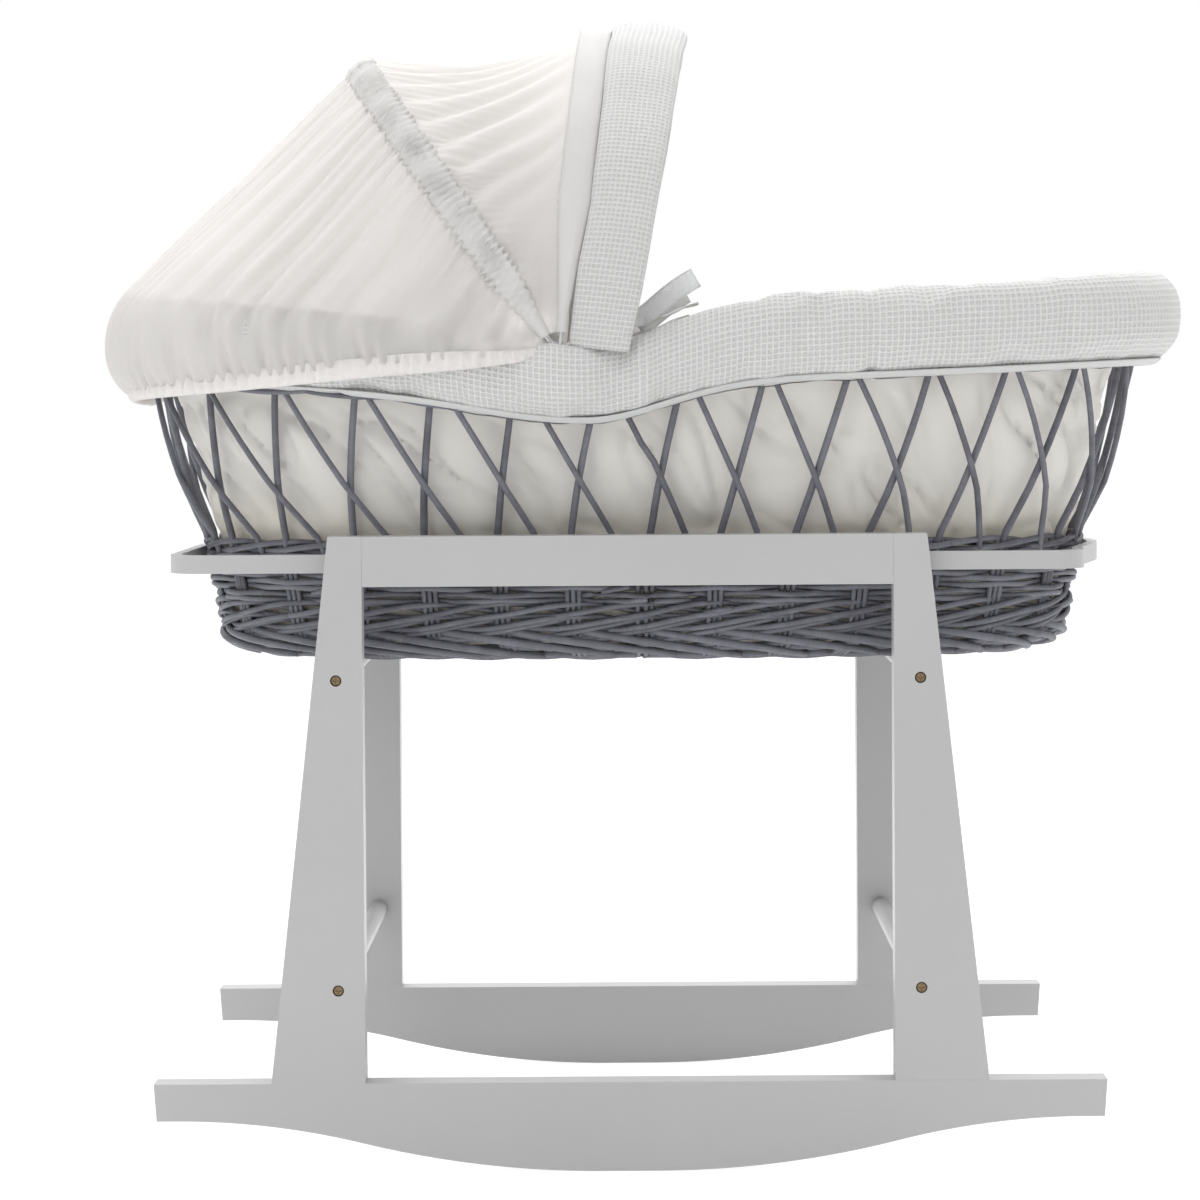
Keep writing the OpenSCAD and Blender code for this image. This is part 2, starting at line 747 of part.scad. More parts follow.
module mid_eyes() {
    hoop_eyes(mid_y, mid_angle);
}

module front_hoop() {
    wire_hoop(front_y, front_reach, front_angle);
}

module front_eyes() {
    hoop_eyes(front_y, front_angle);
}

module mid_channel() {
    color(cloth_white) hoop_channel(mid_y, mid_reach, mid_angle);
}

module front_channel() {
    color(cloth_grey) hoop_channel(front_y, front_reach, front_angle);
}

// Edge points of the cloth next to a hoop at a share i of its way round.
function mid_edge(i, side, lift) =
    let (s = stations(mid_y, mid_reach, channel_start)[i])
    near_hoop(s, mid_y, mid_reach, mid_angle, lift,
        side * (channel_at(from_end(s, mid_y, mid_reach)) + cloth_gap));
function front_edge(i, side, lift) =
    let (s = stations(front_y, front_reach, channel_start)[i])
    near_hoop(s, front_y, front_reach, front_angle, lift,
        side * (channel_at(from_end(s, front_y, front_reach)) + cloth_gap));

module front_canopy() {
    across = 6;
    function span(i, lift) = [
        for (k = [0:across])
            let (v = k / across,
                 a = mid_edge(i, 1, lift),
                 b = front_edge(i, -1, lift),
                 droop = hood_sag * 4 * v * (1 - v) * sin(180 * i / arch_steps))
            mix(a, b, v) - unit(mix(a, b, v) - pivot) * droop
    ];
    color(cloth_white) wall_between(
        [for (i = [0:arch_steps]) span(i, cloth_thick / 2)],
        [for (i = [0:arch_steps]) span(i, -cloth_thick / 2)]);
}

// The hood's hem, from beside the pivots down over the padded rim and under it at the head.
// A place c along it runs from -1 beside the front pivot, through 0 at the head, to 1 beside the rear one.
hem_reach = 0.5 - 0.25 - (pivot_back + 30) / rim_around;
function hem_angle(c) = angle_along(rim_around * (0.5 - c * hem_reach));

// A point beside the rim line at angle t, o outwards and z up.
function beside_rim(t, o, z) = rim_point(t) + rim_out(t) * o + [0, 0, z];

function bend3(a, b, c, s) = mix(mix(a, b, s), mix(b, c, s), s);
function bend4(a, b, c, d, s) = mix(bend3(a, b, c, s), bend3(b, c, d, s), s);

// Offsets [outwards, upwards] of the hem; q is 0 beside a pivot and 1 at the middle of the head.
function hem_offset(q) = bend3(
    [roll_out + 7, pivot_rise - 4],
    [roll_out + 14, -roll_half],
    [3, roll_half_gain - roll_half - 12], q);

// Offsets of the canopy between the hoop and the hem, s running from 0 to 1.
function skirt_offset(q, s) = bend4(
    [mix(roll_out + 7, 14, q), mix(pivot_rise + 8, roll_half + 10, q)],
    [mix(roll_out + 9, roll_out + 17, q), mix(pivot_rise + 4, 20, q)],
    [mix(roll_out + 9, roll_out + 15, q), mix(pivot_rise, -roll_half, q)],
    hem_offset(q), s);

module rear_canopy() {
    drop = 5;
    skirt = 6;
    function row(i, lift) =
        let (c = 1 - 2 * i / arch_steps, q = 1 - abs(c), t = hem_angle(c),
             start = mid_edge(i, -1, lift),
             knee = let (o = skirt_offset(q, 0)) beside_rim(t, o[0] + lift, o[1]))
        concat(
            [for (k = [0:drop - 1]) mix(start, knee, k / drop)],
            [for (k = [0:skirt]) let (o = skirt_offset(q, 0.94 * k / skirt))
                beside_rim(t, o[0] + lift * (k < skirt ? 1 : 0.7), o[1] - lift * 0.7 * q * k / skirt)]);
    color(cloth_white) wall_between(
        [for (i = [0:arch_steps]) row(i, cloth_thick / 2)],
        [for (i = [0:arch_steps]) row(i, -cloth_thick / 2)]);
}

module hood_hem() {
    count = 48;
    path = [for (i = [0:count])
        let (c = 1 - 2 * i / count, o = hem_offset(1 - abs(c)))
        beside_rim(hem_angle(c), o[0], o[1])];
    rings = [for (i = [0:count])
        let (along = unit(path[min(i + 1, count)] - path[max(i - 1, 0)]),
             u = unit(cross(along, [0, 0, 1])), v = cross(u, along))
        ring_at(path[i], u, v, hem_r, 8)];
    color(cloth_white) bar_through(rings);
}

// The front trim: a quilted band that stands forwards of the front hoop.
module hood_trim() {
    start = 7;
    rows = [for (s = stations(front_y, front_reach, start))
        let (near = from_end(s, front_y, front_reach),
             up = hoop_at(s, front_y, front_reach)[0][1],
             back = max(eye_r + 1, channel_at(near)) + cloth_gap,
             edge = mix(trim_foot, trim_top, up / front_reach))
        [s, back, edge]];
    function net(lift) = [for (r = rows) [for (k = [0:3])
        near_hoop(r[0], front_y, front_reach, front_angle, lift, mix(r[1], r[2], k / 3))]];
    color(cloth_white) wall_between(net(trim_thick / 2), net(-trim_thick / 2));
}

// The brackets that carry the hood: a plate outside the padded rim and a tongue to the wicker hoop.
module hinge_plates() {
    plate_w = 26;
    plate_h = 18;
    tongue_w = 14;
    tongue_h = 3;
    tongue_start = rim_width / 2 + rim_hoop_d / 2 + 0.2;
    color(steel) both_frames() translate([pivot[0], 0, 0]) difference() {
        union() {
            translate([-plate_w / 2, -plate_out, pivot[2] - plate_h + 6]) cube([plate_w, plate_thick, plate_h]);
            translate([-tongue_w / 2, -plate_out + plate_thick / 2, pivot[2] - plate_h + 6])
                cube([tongue_w, plate_out - plate_thick / 2 - tongue_start, tongue_h]);
        }
        translate([0, -plate_out - 1, pivot[2]]) rotate([-90, 0, 0]) cylinder(d = pin_d, h = plate_thick + 2);
    }
}

module pivot_pins() {
    color(steel) both_frames() translate([pivot[0], -plate_in, pivot[2]]) rotate([90, 0, 0]) {
        cylinder(d = pin_d, h = head_y - plate_in + 0.1);
        translate([0, 0, head_y - plate_in]) cylinder(r1 = pin_head_r, r2 = pin_head_r * 0.7, h = pin_head_h);
    }
}

// ---------- Ribbon ties ----------

// A flat ribbon tail along a list of points, lying across the given direction.
module ribbon(points, across, width, thick) {
    last = len(points) - 1;
    rings = [for (k = [0:last])
        let (along = unit(points[min(k + 1, last)] - points[max(k - 1, 0)]),
             w = unit(across - along * (across * along)) * width / 2,
             n = cross(along, unit(w)) * thick / 2)
        [points[k] - w - n, points[k] + w - n, points[k] + w + n, points[k] - w + n]];
    bar_through(rings);
}

tie_width = 18;
tie_thick = 1.2;
tie_y = rim_width / 2 - 6;
function above_roll(x, lift) = basket_z + rim_level_at(x) + roll_half + lift;

module near_tie() {
    standing = [[-6, 9], [6, 12], [22, 18], [38, 23]];
    lying = [4, 16, 28, 40];
    color(cloth_grey) {
        ribbon([for (q = standing) [q[0], -tie_y - q[0] / 20, above_roll(q[0], q[1])]],
            [-0.8, 0.2, 1], tie_width, tie_thick);
        ribbon([for (x = lying) [x, 12 - tie_y, above_roll(x, 3)]], [0, 1, 0], tie_width, tie_thick);
    }
}

module far_tie() {
    mirror([0, 1, 0]) near_tie();
}

rocker();  // front_rocker
mirror([0, 1, 0]) rocker();  // rear_rocker
leg(-1);  // front_head_leg
leg(1);  // front_foot_leg
mirror([0, 1, 0]) leg(-1);  // rear_head_leg
mirror([0, 1, 0]) leg(1);  // rear_foot_leg
top_rail();  // front_top_rail
mirror([0, 1, 0]) top_rail();  // rear_top_rail
dowel(-1, upper_dowel_z);  // head_upper_dowel
dowel(1, upper_dowel_z);  // foot_upper_dowel
dowel(-1, lower_dowel_z);  // head_lower_dowel
dowel(1, lower_dowel_z);  // foot_lower_dowel
end_hoop(-1, 0);  // head_end_hoop
end_hoop(1, strip_bow);  // foot_end_hoop
dowel_screws();
hoop_screws();
rocker_pegs();
rail_pegs();
basket_base();
lower_weave();
outer_rods();
inner_rods();
rim_hoop();
liner_wall();
liner_floor();
rim_cover();
rim_hem();
mattress_foam();
mattress_cover();
hinge_plates();
pivot_pins();
rear_canopy();
hood_hem();
near_tie();
far_tie();
mid_hoop();
mid_eyes();
mid_channel();
front_canopy();
front_hoop();
front_eyes();
front_channel();
hood_trim();
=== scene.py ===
"""An oval wicker bassinet with a folding hood, on a rocking stand.
Row frame in metres: +X towards the foot, -Y is the front, +Z up, floor at Z = 0.
"""

import math
import random

import bmesh
import bpy
from bpy.props import FloatProperty, FloatVectorProperty, IntProperty, PointerProperty
from mathutils import Matrix, Vector, noise


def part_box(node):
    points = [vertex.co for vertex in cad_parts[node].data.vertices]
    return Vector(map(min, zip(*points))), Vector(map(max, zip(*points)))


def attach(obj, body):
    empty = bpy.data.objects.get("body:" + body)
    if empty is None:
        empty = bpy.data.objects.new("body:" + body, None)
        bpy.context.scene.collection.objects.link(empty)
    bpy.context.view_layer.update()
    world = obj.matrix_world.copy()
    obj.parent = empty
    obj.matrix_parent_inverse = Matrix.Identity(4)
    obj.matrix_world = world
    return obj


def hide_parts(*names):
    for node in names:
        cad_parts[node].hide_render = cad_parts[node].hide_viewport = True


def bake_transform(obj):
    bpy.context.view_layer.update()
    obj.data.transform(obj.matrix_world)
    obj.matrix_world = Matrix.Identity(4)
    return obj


bl_info = {
    "name": "Bassinet on stand",
    "version": (1, 0, 0),
    "blender": (4, 5, 0),
    "location": "View3D > Sidebar > Bassinet",
    "description": "Wicker, padding, cloth and finishes of a bassinet on its rocking stand",
    "category": "Object",
}

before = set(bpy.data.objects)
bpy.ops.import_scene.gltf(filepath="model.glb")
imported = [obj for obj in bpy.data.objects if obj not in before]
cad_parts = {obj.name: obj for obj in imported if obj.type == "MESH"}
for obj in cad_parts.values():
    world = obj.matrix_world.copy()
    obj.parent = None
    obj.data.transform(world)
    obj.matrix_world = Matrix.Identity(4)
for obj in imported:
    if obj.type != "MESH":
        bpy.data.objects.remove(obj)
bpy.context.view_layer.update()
MM = 0.001
TAU = 2 * math.pi
UP = Vector((0, 0, 1))


# ---------- Sizes read from the frame ----------


def low(node):
    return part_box(node)[0]


def high(node):
    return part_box(node)[1]


HOOP_R = 7 * MM
BASE_Z = low("basket_base").z
BASE_HALF = high("basket_base").xy
BAND_HALF = high("lower_weave").xy
BAND_H = high("lower_weave").z - BASE_Z
RIM_HALF = high("rim_hoop").xy - Vector((HOOP_R, HOOP_R))
RIM_LOW = low("rim_hoop").z + HOOP_R - BASE_Z
RIM_FOOT = high("rim_hoop").z - HOOP_R - BASE_Z
PIVOT = Vector((
    (low("pivot_pins").x + high("pivot_pins").x) / 2, 0,
    (low("pivot_pins").z + high("pivot_pins").z) / 2,
))


def length(name, default, description):
    return FloatProperty(name=name, description=description, default=default, unit="LENGTH")


def colour(name, default, description):
    return FloatVectorProperty(
        name=name, description=description, subtype="COLOR", default=default, min=0, max=1)


class BassinetSizes(bpy.types.PropertyGroup):
    """Sizes that shape the soft and woven pieces round the frame."""

    shoulder_x: length("Corner length", 0.344, "Half length where the rounded bottom corner ends")
    shoulder_y: length("Corner width", 0.168, "Half width where the rounded bottom corner ends")
    shoulder_h: length("Corner height", 0.025, "Height of the rounded bottom corner")
    dip_back: length("Dip place", 0.045, "How far the rim's dips lie towards the head")
    head_rise: length("Head rise", 0.031, "How much the rim rises from its dips to the head")
    dip_foot: length("Foot dip", 0.085, "Half width of the dips towards the foot")
    dip_head: length("Head dip", 0.11, "Half width of the dips towards the head")
    roll_out: length("Roll out", 0.025, "How far the padded rim stands out from the rim line")
    roll_in: length("Roll in", 0.020, "How far the padded rim reaches inside the rim line")
    roll_half: length("Roll height", 0.034, "Half height of the padded rim at the sides")
    waffle_cell: length("Waffle cell", 0.0044, "Side of one cell of the waffle cloth")
    stakes: IntProperty(
        name="Stakes", description="Number of stake groups round the basket", default=32)
    wale_pitch: length("Row pitch", 0.0098, "Height of one woven row")
    weaver: length("Weaver", 0.0048, "Diameter of a weaving rod")
    wicker: colour("Wicker", (0.122, 0.124, 0.145), "Colour of the stained willow")
    paint: colour("Paint", (0.43, 0.43, 0.43), "Colour of the painted wood")
    muslin: colour("Hood cloth", (0.95, 0.93, 0.91), "Colour of the thin hood cloth")
    liner: colour("Liner cloth", (0.82, 0.805, 0.77), "Colour of the liner")
    waffle: colour("Waffle cloth", (0.70, 0.70, 0.695), "Colour of the waffle cloth")
    ribbon: colour("Ribbon", (0.76, 0.765, 0.77), "Colour of the ribbon ties")


def sizes():
    return bpy.context.scene.bassinet


# ---------- Finishes ----------

WAFFLE_THREAD = 0.0009
COTTON_THREAD = 0.0007
RIBBON_THREAD = 0.001
RIBBON_RIB = 0.0012


class Wire:
    """An output socket whose arithmetic adds Math nodes."""

    def __init__(self, nodes, socket):
        self.nodes = nodes
        self.socket = socket

    def math(self, operation, *others, swap=False):
        values = [self, *others]
        if swap:
            values.reverse()
        return self.nodes.node("ShaderNodeMath", {"operation": operation}, dict(enumerate(values)))

    def __add__(self, other):
        return self.math("ADD", other)

    __radd__ = __add__

    def __mul__(self, other):
        return self.math("MULTIPLY", other)

    def __sub__(self, other):
        return self.math("SUBTRACT", other)

    def __rsub__(self, other):
        return self.math("SUBTRACT", other, swap=True)

    def __abs__(self):
        return self.math("ABSOLUTE")

    def sin(self):
        return self.math("SINE")

    def step(self, edge0, edge1):
        """0 below edge0, 1 above edge1 and smooth in between."""
        return self.nodes.node(
            "ShaderNodeMapRange", {"interpolation_type": "SMOOTHSTEP"},
            {"Value": self, "From Min": edge0, "From Max": edge1})


class Nodes:
    """A node tree, built node by node from values and wires."""

    def __init__(self, tree):
        self.tree = tree
        tree.nodes.clear()

    def put(self, socket, value):
        if isinstance(value, Wire):
            self.tree.links.new(value.socket, socket)
        elif socket.type == "RGBA" and len(value) == 3:
            socket.default_value = (*value, 1)
        else:
            socket.default_value = value

    def node(self, kind, settings=None, values=None, output=0):
        """A node of the given type: its settings first, then its sockets' values or links."""
        made = self.tree.nodes.new(kind)
        for name, value in (settings or {}).items():
            setattr(made, name, value)
        for name, value in (values or {}).items():
            self.put(made.inputs[name], value)
        return Wire(self, made.outputs[output])


class Finish(Nodes):
    """A material with one Principled shader; constants go straight on its sockets."""

    def __init__(self, name, **constants):
        self.material = bpy.data.materials.new(name)
        self.material.use_nodes = True
        super().__init__(self.material.node_tree)
        self.shader = self.tree.nodes.new("ShaderNodeBsdfPrincipled")
        self.out = self.tree.nodes.new("ShaderNodeOutputMaterial")
        self.put(self.out.inputs[0], Wire(self, self.shader.outputs[0]))
        self.set(**constants)

    def set(self, **values):
        for name, value in values.items():
            self.put(self.shader.inputs[name.replace("_", " ").title().replace("Ior", "IOR")], value)

    def place(self):
        return self.node("ShaderNodeTexCoord", output="Object")

    def uv(self):
        """The piece's own map, in metres, as its two numbers."""
        split = self.node("ShaderNodeSeparateXYZ", values={0: self.node("ShaderNodeUVMap")})
        return split, Wire(self, split.socket.node.outputs[1])

    def attribute(self, name):
        return self.node("ShaderNodeAttribute", {"attribute_name": name}, output="Fac")

    def stretched(self, vector, scale):
        return self.node("ShaderNodeMapping", values={"Vector": vector, "Scale": scale})

    def noise(self, vector, scale, detail=2.0, rough=0.5):
        return self.node(
            "ShaderNodeTexNoise", values={
                "Vector": vector, "Scale": scale, "Detail": detail, "Roughness": rough})

    def mix(self, factor, first, second):
        return self.node(
            "ShaderNodeMix", {"data_type": "RGBA"}, {0: factor, 6: first, 7: second}, output=2)

    def bump(self, height, distance):
        self.set(Normal=self.node("ShaderNodeBump", values={"Height": height, "Distance": distance}))

    def threads(self, socket, pitch):
        """A wave along one number of the map, which repeats with the pitch."""
        return (socket * (TAU / pitch)).sin()

    def lay_over(self, share, shader):
        """Mixes the given share of another shader over the Principled one."""
        mixed = self.node("ShaderNodeMixShader", values={
            0: share, 1: Wire(self, self.shader.outputs[0]), 2: shader})
        self.put(self.out.inputs[0], mixed)

    def let_light_through(self, share, colour):
        """Mixes in a Translucent shader, as thin cloth shows the light behind it."""
        self.lay_over(share, self.node("ShaderNodeBsdfTranslucent", values={"Color": colour}))


def tinted(colour, share):
    return tuple(min(1.0, c * share) for c in colour)


def painted_wood():
    f = Finish("painted_wood", coat_weight=0.15, coat_roughness=0.25)
    place = f.place()
    grain = f.noise(f.stretched(place, (6, 60, 60)), 4, 4)
    clouds = f.noise(place, 5, 3)
    paint = tuple(sizes().paint)
    f.set(base_color=f.mix(clouds.step(0.35, 0.7), tinted(paint, 0.965), paint),
          roughness=0.34 + clouds * 0.14)
    f.bump(grain + clouds * 0.6, 0.00018)
    return f.material


def willow():
    f = Finish("stained_willow", specular_ior_level=0.45)
    u, v = f.uv()
    rod = f.attribute("rod")
    fine = f.node("ShaderNodeCombineXYZ", values={0: u * 60, 1: v * 900, 2: rod * 37})
    grain = f.noise(fine, 1, 4, 0.6)
    long = f.node("ShaderNodeCombineXYZ", values={0: u * 14, 1: v * 60, 2: rod * 91})
    patches = f.noise(long, 1, 3)
    wicker = tuple(sizes().wicker)
    tone = f.mix(rod, tinted(wicker, 0.74), tinted(wicker, 1.22))
    tone = f.mix(patches.step(0.35, 0.75) * 0.6, tone, tinted(wicker, 1.5))
    tone = f.mix(grain.step(0.5, 0.72) * 0.45, tone, tinted(wicker, 0.55))
    f.set(base_color=tone, roughness=0.42 + grain * 0.25)
    f.bump(grain * 0.7 + patches, 0.0005)
    return f.material


def willow_end():
    f = Finish("cut_willow", roughness=0.8)
    rings = f.noise(f.place(), 900, 2)
    f.set(base_color=f.mix(rings.step(0.4, 0.6), (0.20, 0.19, 0.19), (0.34, 0.32, 0.29)))
    return f.material


def waffle_cloth():
    f = Finish("waffle_cloth", roughness=0.85, sheen_weight=0.25, sheen_roughness=0.5)
    u, v = f.uv()
    cell = sizes().waffle_cell
    wobble = f.noise(f.place(), 18, 2) - 0.5
    across = abs(((u + wobble * 0.0016) * (math.pi / cell)).sin())
    along = abs(((v + wobble * 0.0012) * (math.pi / cell)).sin())
    pit_and_shade = across.step(0.25, 0.95) * along.step(0.25, 0.95)
    thread = f.threads(u, WAFFLE_THREAD) * f.threads(v, WAFFLE_THREAD)
    waffle = tuple(sizes().waffle)
    # Painted shade: the sunken cell centres are coloured darker (0.86 of the cloth), as shade falls in
    # them; the same mask also sinks them in the bump.
    f.set(base_color=f.mix(pit_and_shade, waffle, tinted(waffle, 0.86)))
    f.bump((1 - pit_and_shade) + thread * 0.05 + wobble * 0.4, 0.0009)
    f.let_light_through(0.12, waffle)
    return f.material


def thin_cloth(name, colour, share, extra_shade=0.0):
    """Plain woven cotton that lets the given share of the light through."""
    f = Finish(name, roughness=0.78, sheen_weight=0.2, sheen_roughness=0.4)
    u, v = f.uv()
    clouds = f.noise(f.place(), 9, 4)
    thread = f.threads(u, COTTON_THREAD) + f.threads(v, COTTON_THREAD)
    slub = f.noise(f.node("ShaderNodeCombineXYZ", values={0: u * 420, 1: v * 30}), 1, 2)
    # The last argument darkens the cloudy patches further: painted shade, used for the hoop channels.
    tone = f.mix(clouds.step(0.3, 0.75), tinted(colour, 0.955 - extra_shade), colour)
    tone = f.mix(slub.step(0.55, 0.75) * 0.25, tone, tinted(colour, 0.93))
    f.set(base_color=tone)
    f.bump(thread * 0.12 + slub * 0.6 + clouds, 0.0004)
    if share:
        f.let_light_through(share, colour)
    return f.material


def liner_cloth():
    f = Finish("liner_cloth", roughness=0.82, sheen_weight=0.15)
    place = f.place()
    height = Wire(f, f.node("ShaderNodeSeparateXYZ", values={0: place}).socket.node.outputs[2])
    clouds = f.noise(place, 11, 4)
    liner = tuple(sizes().liner)
    band_top = BASE_Z + BAND_H
    # Painted shade: below the top of the woven band the liner is mixed half way to a darker, warmer
    # tone, for the shade deep inside the basket behind the weave.
    low_shade_tone = (0.80, 0.75, 0.60)
    low_shade = (1 - (height + clouds * 0.05).step(band_top + 0.01, band_top + 0.065)) * 0.5
    f.set(base_color=f.mix(low_shade, f.mix(clouds, tinted(liner, 0.93), liner), low_shade_tone))
    f.bump(clouds + f.noise(place, 1300, 1) * 0.08, 0.0012)
    f.let_light_through(0.22, liner)
    return f.material


def ribbon_cloth():
    f = Finish("ribbon", roughness=0.45, sheen_weight=0.3)
    u, v = f.uv()
    ribbon = tuple(sizes().ribbon)
    f.set(base_color=f.mix(f.noise(f.place(), 60, 2), tinted(ribbon, 0.9), tinted(ribbon, 1.1)))
    f.bump(f.threads(v, RIBBON_RIB) * 0.3 + f.threads(u, RIBBON_THREAD) * 0.1, 0.0003)
    f.let_light_through(0.15, ribbon)
    return f.material


def metal(name, colour, rough):
    f = Finish(name, metallic=1.0)
    place = f.place()
    worn = f.noise(place, 240, 3)
    f.set(base_color=f.mix(worn, tinted(colour, 0.8), colour), roughness=rough + worn * 0.15)
    f.bump(worn, 0.0001)
    return f.material


def raw_beech():
    f = Finish("raw_beech", roughness=0.6)
    grain = f.noise(f.stretched(f.place(), (300, 300, 20)), 1, 3)
    f.set(base_color=f.mix(grain, (0.62, 0.44, 0.26), (0.74, 0.56, 0.36)))
    f.bump(grain, 0.0002)
    return f.material


MAKERS = {
    "painted_wood": painted_wood,
    "willow": willow,
    "willow_end": willow_end,
    "waffle": waffle_cloth,
    "liner": liner_cloth,
    "ribbon": ribbon_cloth,
    "beech": raw_beech,
    "steel": lambda: metal("zinc_steel", (0.62, 0.63, 0.64), 0.3),
    "bronze": lambda: metal("bronzed_steel", (0.26, 0.19, 0.11), 0.35),
    "muslin": lambda: thin_cloth("hood_cloth", tuple(sizes().muslin), 0.36),
    # Painted shade: the two hoop channels are the hood's own cloth, coloured darker (0.76 and 0.72 of
    # it) for the shade of their doubled layers against the light behind.
    "channel": lambda: thin_cloth("channel_cloth", tinted(sizes().muslin, 0.76), 0.10, 0.03),
    "band": lambda: thin_cloth("shaded_band_cloth", tinted(sizes().muslin, 0.72), 0.06, 0.03),
    "hem": lambda: thin_cloth("hem_cloth", (0.66, 0.665, 0.66), 0.1),
    "ticking": lambda: thin_cloth("mattress_cloth", (0.84, 0.825, 0.77), 0.0),
}
_made = {}


def finish_of(name):
    if name not in _made:
        _made[name] = MAKERS[name]()
    return _made[name]


# ---------- Mesh helpers ----------


def net(bm, across, along, place, size, wrap=False, rod=0.5, end_material=None):
    """A grid of across x along faces whose points go where place(u, v) says, u and v from 0 to 1.

    size is the cloth's own (width, length) in metres, for its map, or a function of (u, v) that
    gives the map. wrap joins u 0 to u 1, and end_material closes the two ends of such a tube
    with faces of that material.
    """
    uvs = bm.loops.layers.uv.verify()
    rods = bm.faces.layers.float.get("rod") or bm.faces.layers.float.new("rod")
    made = bmesh.ops.create_grid(
        bm, x_segments=across, y_segments=along, size=0.5, calc_uvs=True)["verts"]
    faces = {f for v in made for f in v.link_faces}
    for face in faces:
        for loop in face.loops:
            u, v = loop.vert.co.x + 0.5, loop.vert.co.y + 0.5
            loop[uvs].uv = size(u, v) if callable(size) else (u * size[0], v * size[1])
    for face in faces:
        face[rods] = rod
    ends = [v for v in made if abs(abs(v.co.y) - 0.5) < 1e-6] if end_material is not None else []
    for v in made:
        v.co = place(v.co.x + 0.5, v.co.y + 0.5)
    if wrap:
        bmesh.ops.remove_doubles(bm, verts=made, dist=1e-6)
    if ends:
        rims = {e for v in ends if v.is_valid for e in v.link_edges if e.is_boundary}
        caps = bmesh.ops.holes_fill(bm, edges=list(rims), sides=0)["faces"]
        for cap in caps:
            cap.material_index = end_material
    return made


def weld(bm):
    """Joins points that lie on each other, such as a wall's ends and a pad's middle."""
    bmesh.ops.remove_doubles(bm, verts=bm.verts, dist=1e-5)


def piece(name, bm, finishes, body):
    """Makes the finished object, with its outward faces, and rides it on its body."""
    bmesh.ops.recalc_face_normals(bm, faces=bm.faces)
    mesh = bpy.data.meshes.new(name)
    bm.to_mesh(mesh)
    bm.free()
    for finish in finishes:
        mesh.materials.append(finish_of(finish))
    mesh.polygons.foreach_set("use_smooth", [True] * len(mesh.polygons))
    obj = bpy.data.objects.new(name, mesh)
    bpy.context.scene.collection.objects.link(obj)
    if body:
        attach(obj, body)
    return obj


def thicken(obj, thick, offset=0.0):
    made = obj.modifiers.new("Thickness", "SOLIDIFY")
    made.thickness = thick
    made.offset = offset


def lerp(a, b, s):
    return a + (b - a) * s


def smoothstep(a, b, x):
    s = min(1.0, max(0.0, (x - a) / (b - a)))
    return s * s * (3 - 2 * s)


def running_length(points):
    """The length along a path up to each of its points."""
    total = [0.0]
    for a, b in zip(points, points[1:]):
        total.append(total[-1] + (b - a).length)
    return total


CUT = 1  # the material slot of a rod's cut ends


def tube(bm, path, radius, sides, rod, closed=False, ends=None, total=None):
    """A rod round a path of points: radius is a number or a function of the share along it."""
    count = len(path)
    last = count - 1
    flow = []
    for k, p in enumerate(path):
        before = path[(k - 1) % count if closed else max(k - 1, 0)]
        after = path[(k + 1) % count if closed else min(k + 1, last)]
        along = (after - before).normalized()
        out = along.cross(Vector((p.y, -p.x, 0)))
        out = out.normalized() if out.length > 1e-6 else along.orthogonal().normalized()
        flow.append((p, along.cross(out).normalized(), out))
    if closed:
        flow.append(flow[0])
    total = total or sum((a - b).length for a, b in zip(path, path[1:]))
    segments = len(flow) - 1

    def place(u, v):
        p, side, out = flow[round(v * segments)]
        r = radius(v) if callable(radius) else radius
        return p + side * (math.cos(TAU * u) * r) + out * (math.sin(TAU * u) * r)

    width = TAU * (radius(0.5) if callable(radius) else radius)
    net(bm, sides, segments, place, (width, total), wrap=True, rod=rod,
        end_material=None if closed else ends)


# ---------- The basket's wall ----------

OVAL_POWER = 3.0
FLARE_POWER = 1.5


def signed_power(x, p):
    return math.copysign(abs(x) ** p, x)


def oval(t):
    """Plan coordinates at angle t, as shares of the half length and half width."""
    p = 2 / OVAL_POWER
    return signed_power(math.cos(t), p), signed_power(math.sin(t), p)


def oval_out(t, half):
    x, y = oval(t)
    e = OVAL_POWER - 1
    return Vector((signed_power(x, e) / half.x, signed_power(y, e) / half.y, 0)).normalized()


def wall_half(axis, h, d):
    """Half length (axis 0) or half width (axis 1) of the wall at height h, set in by d."""
    s = sizes()
    base, band, rim = BASE_HALF[axis], BAND_HALF[axis], RIM_HALF[axis]
    shoulder = (s.shoulder_x, s.shoulder_y)[axis]
    top = (RIM_FOOT, RIM_LOW)[axis]
    if h < s.shoulder_h:
        drop = (s.shoulder_h - h) / (s.shoulder_h - d)
        return base + (shoulder - base - d) * math.sqrt(max(0.0, 1 - drop * drop))
    if h < BAND_H:
        return lerp(shoulder, band, (h - s.shoulder_h) / (BAND_H - s.shoulder_h)) - d
    share = 1 - max(0.0, 1 - (h - BAND_H) / (top - BAND_H)) ** FLARE_POWER
    return lerp(band, rim, share) - d


def wall_point(t, h, d):
    x, y = oval(t)
    return Vector((x * wall_half(0, h, d), y * wall_half(1, h, d), BASE_Z + h))


def rim_level_at(x):
    """Height of the rim line above the base: a rounded dip, then a slow rise to each end."""
    s = sizes()
    u = x + s.dip_back
    rise, dip, run = (
        (RIM_FOOT - RIM_LOW, s.dip_foot, RIM_HALF.x + s.dip_back) if u > 0
        else (s.head_rise, s.dip_head, RIM_HALF.x - s.dip_back))
    return RIM_LOW + rise * (0.6 * (1 - math.exp(-((u / dip) ** 2))) + 0.4 * (u / run) ** 2)


def rim_level(t):
    return rim_level_at(oval(t)[0] * RIM_HALF.x)


def rim_point(t):
    x, y = oval(t)
    return Vector((x * RIM_HALF.x, y * RIM_HALF.y, BASE_Z + rim_level(t)))


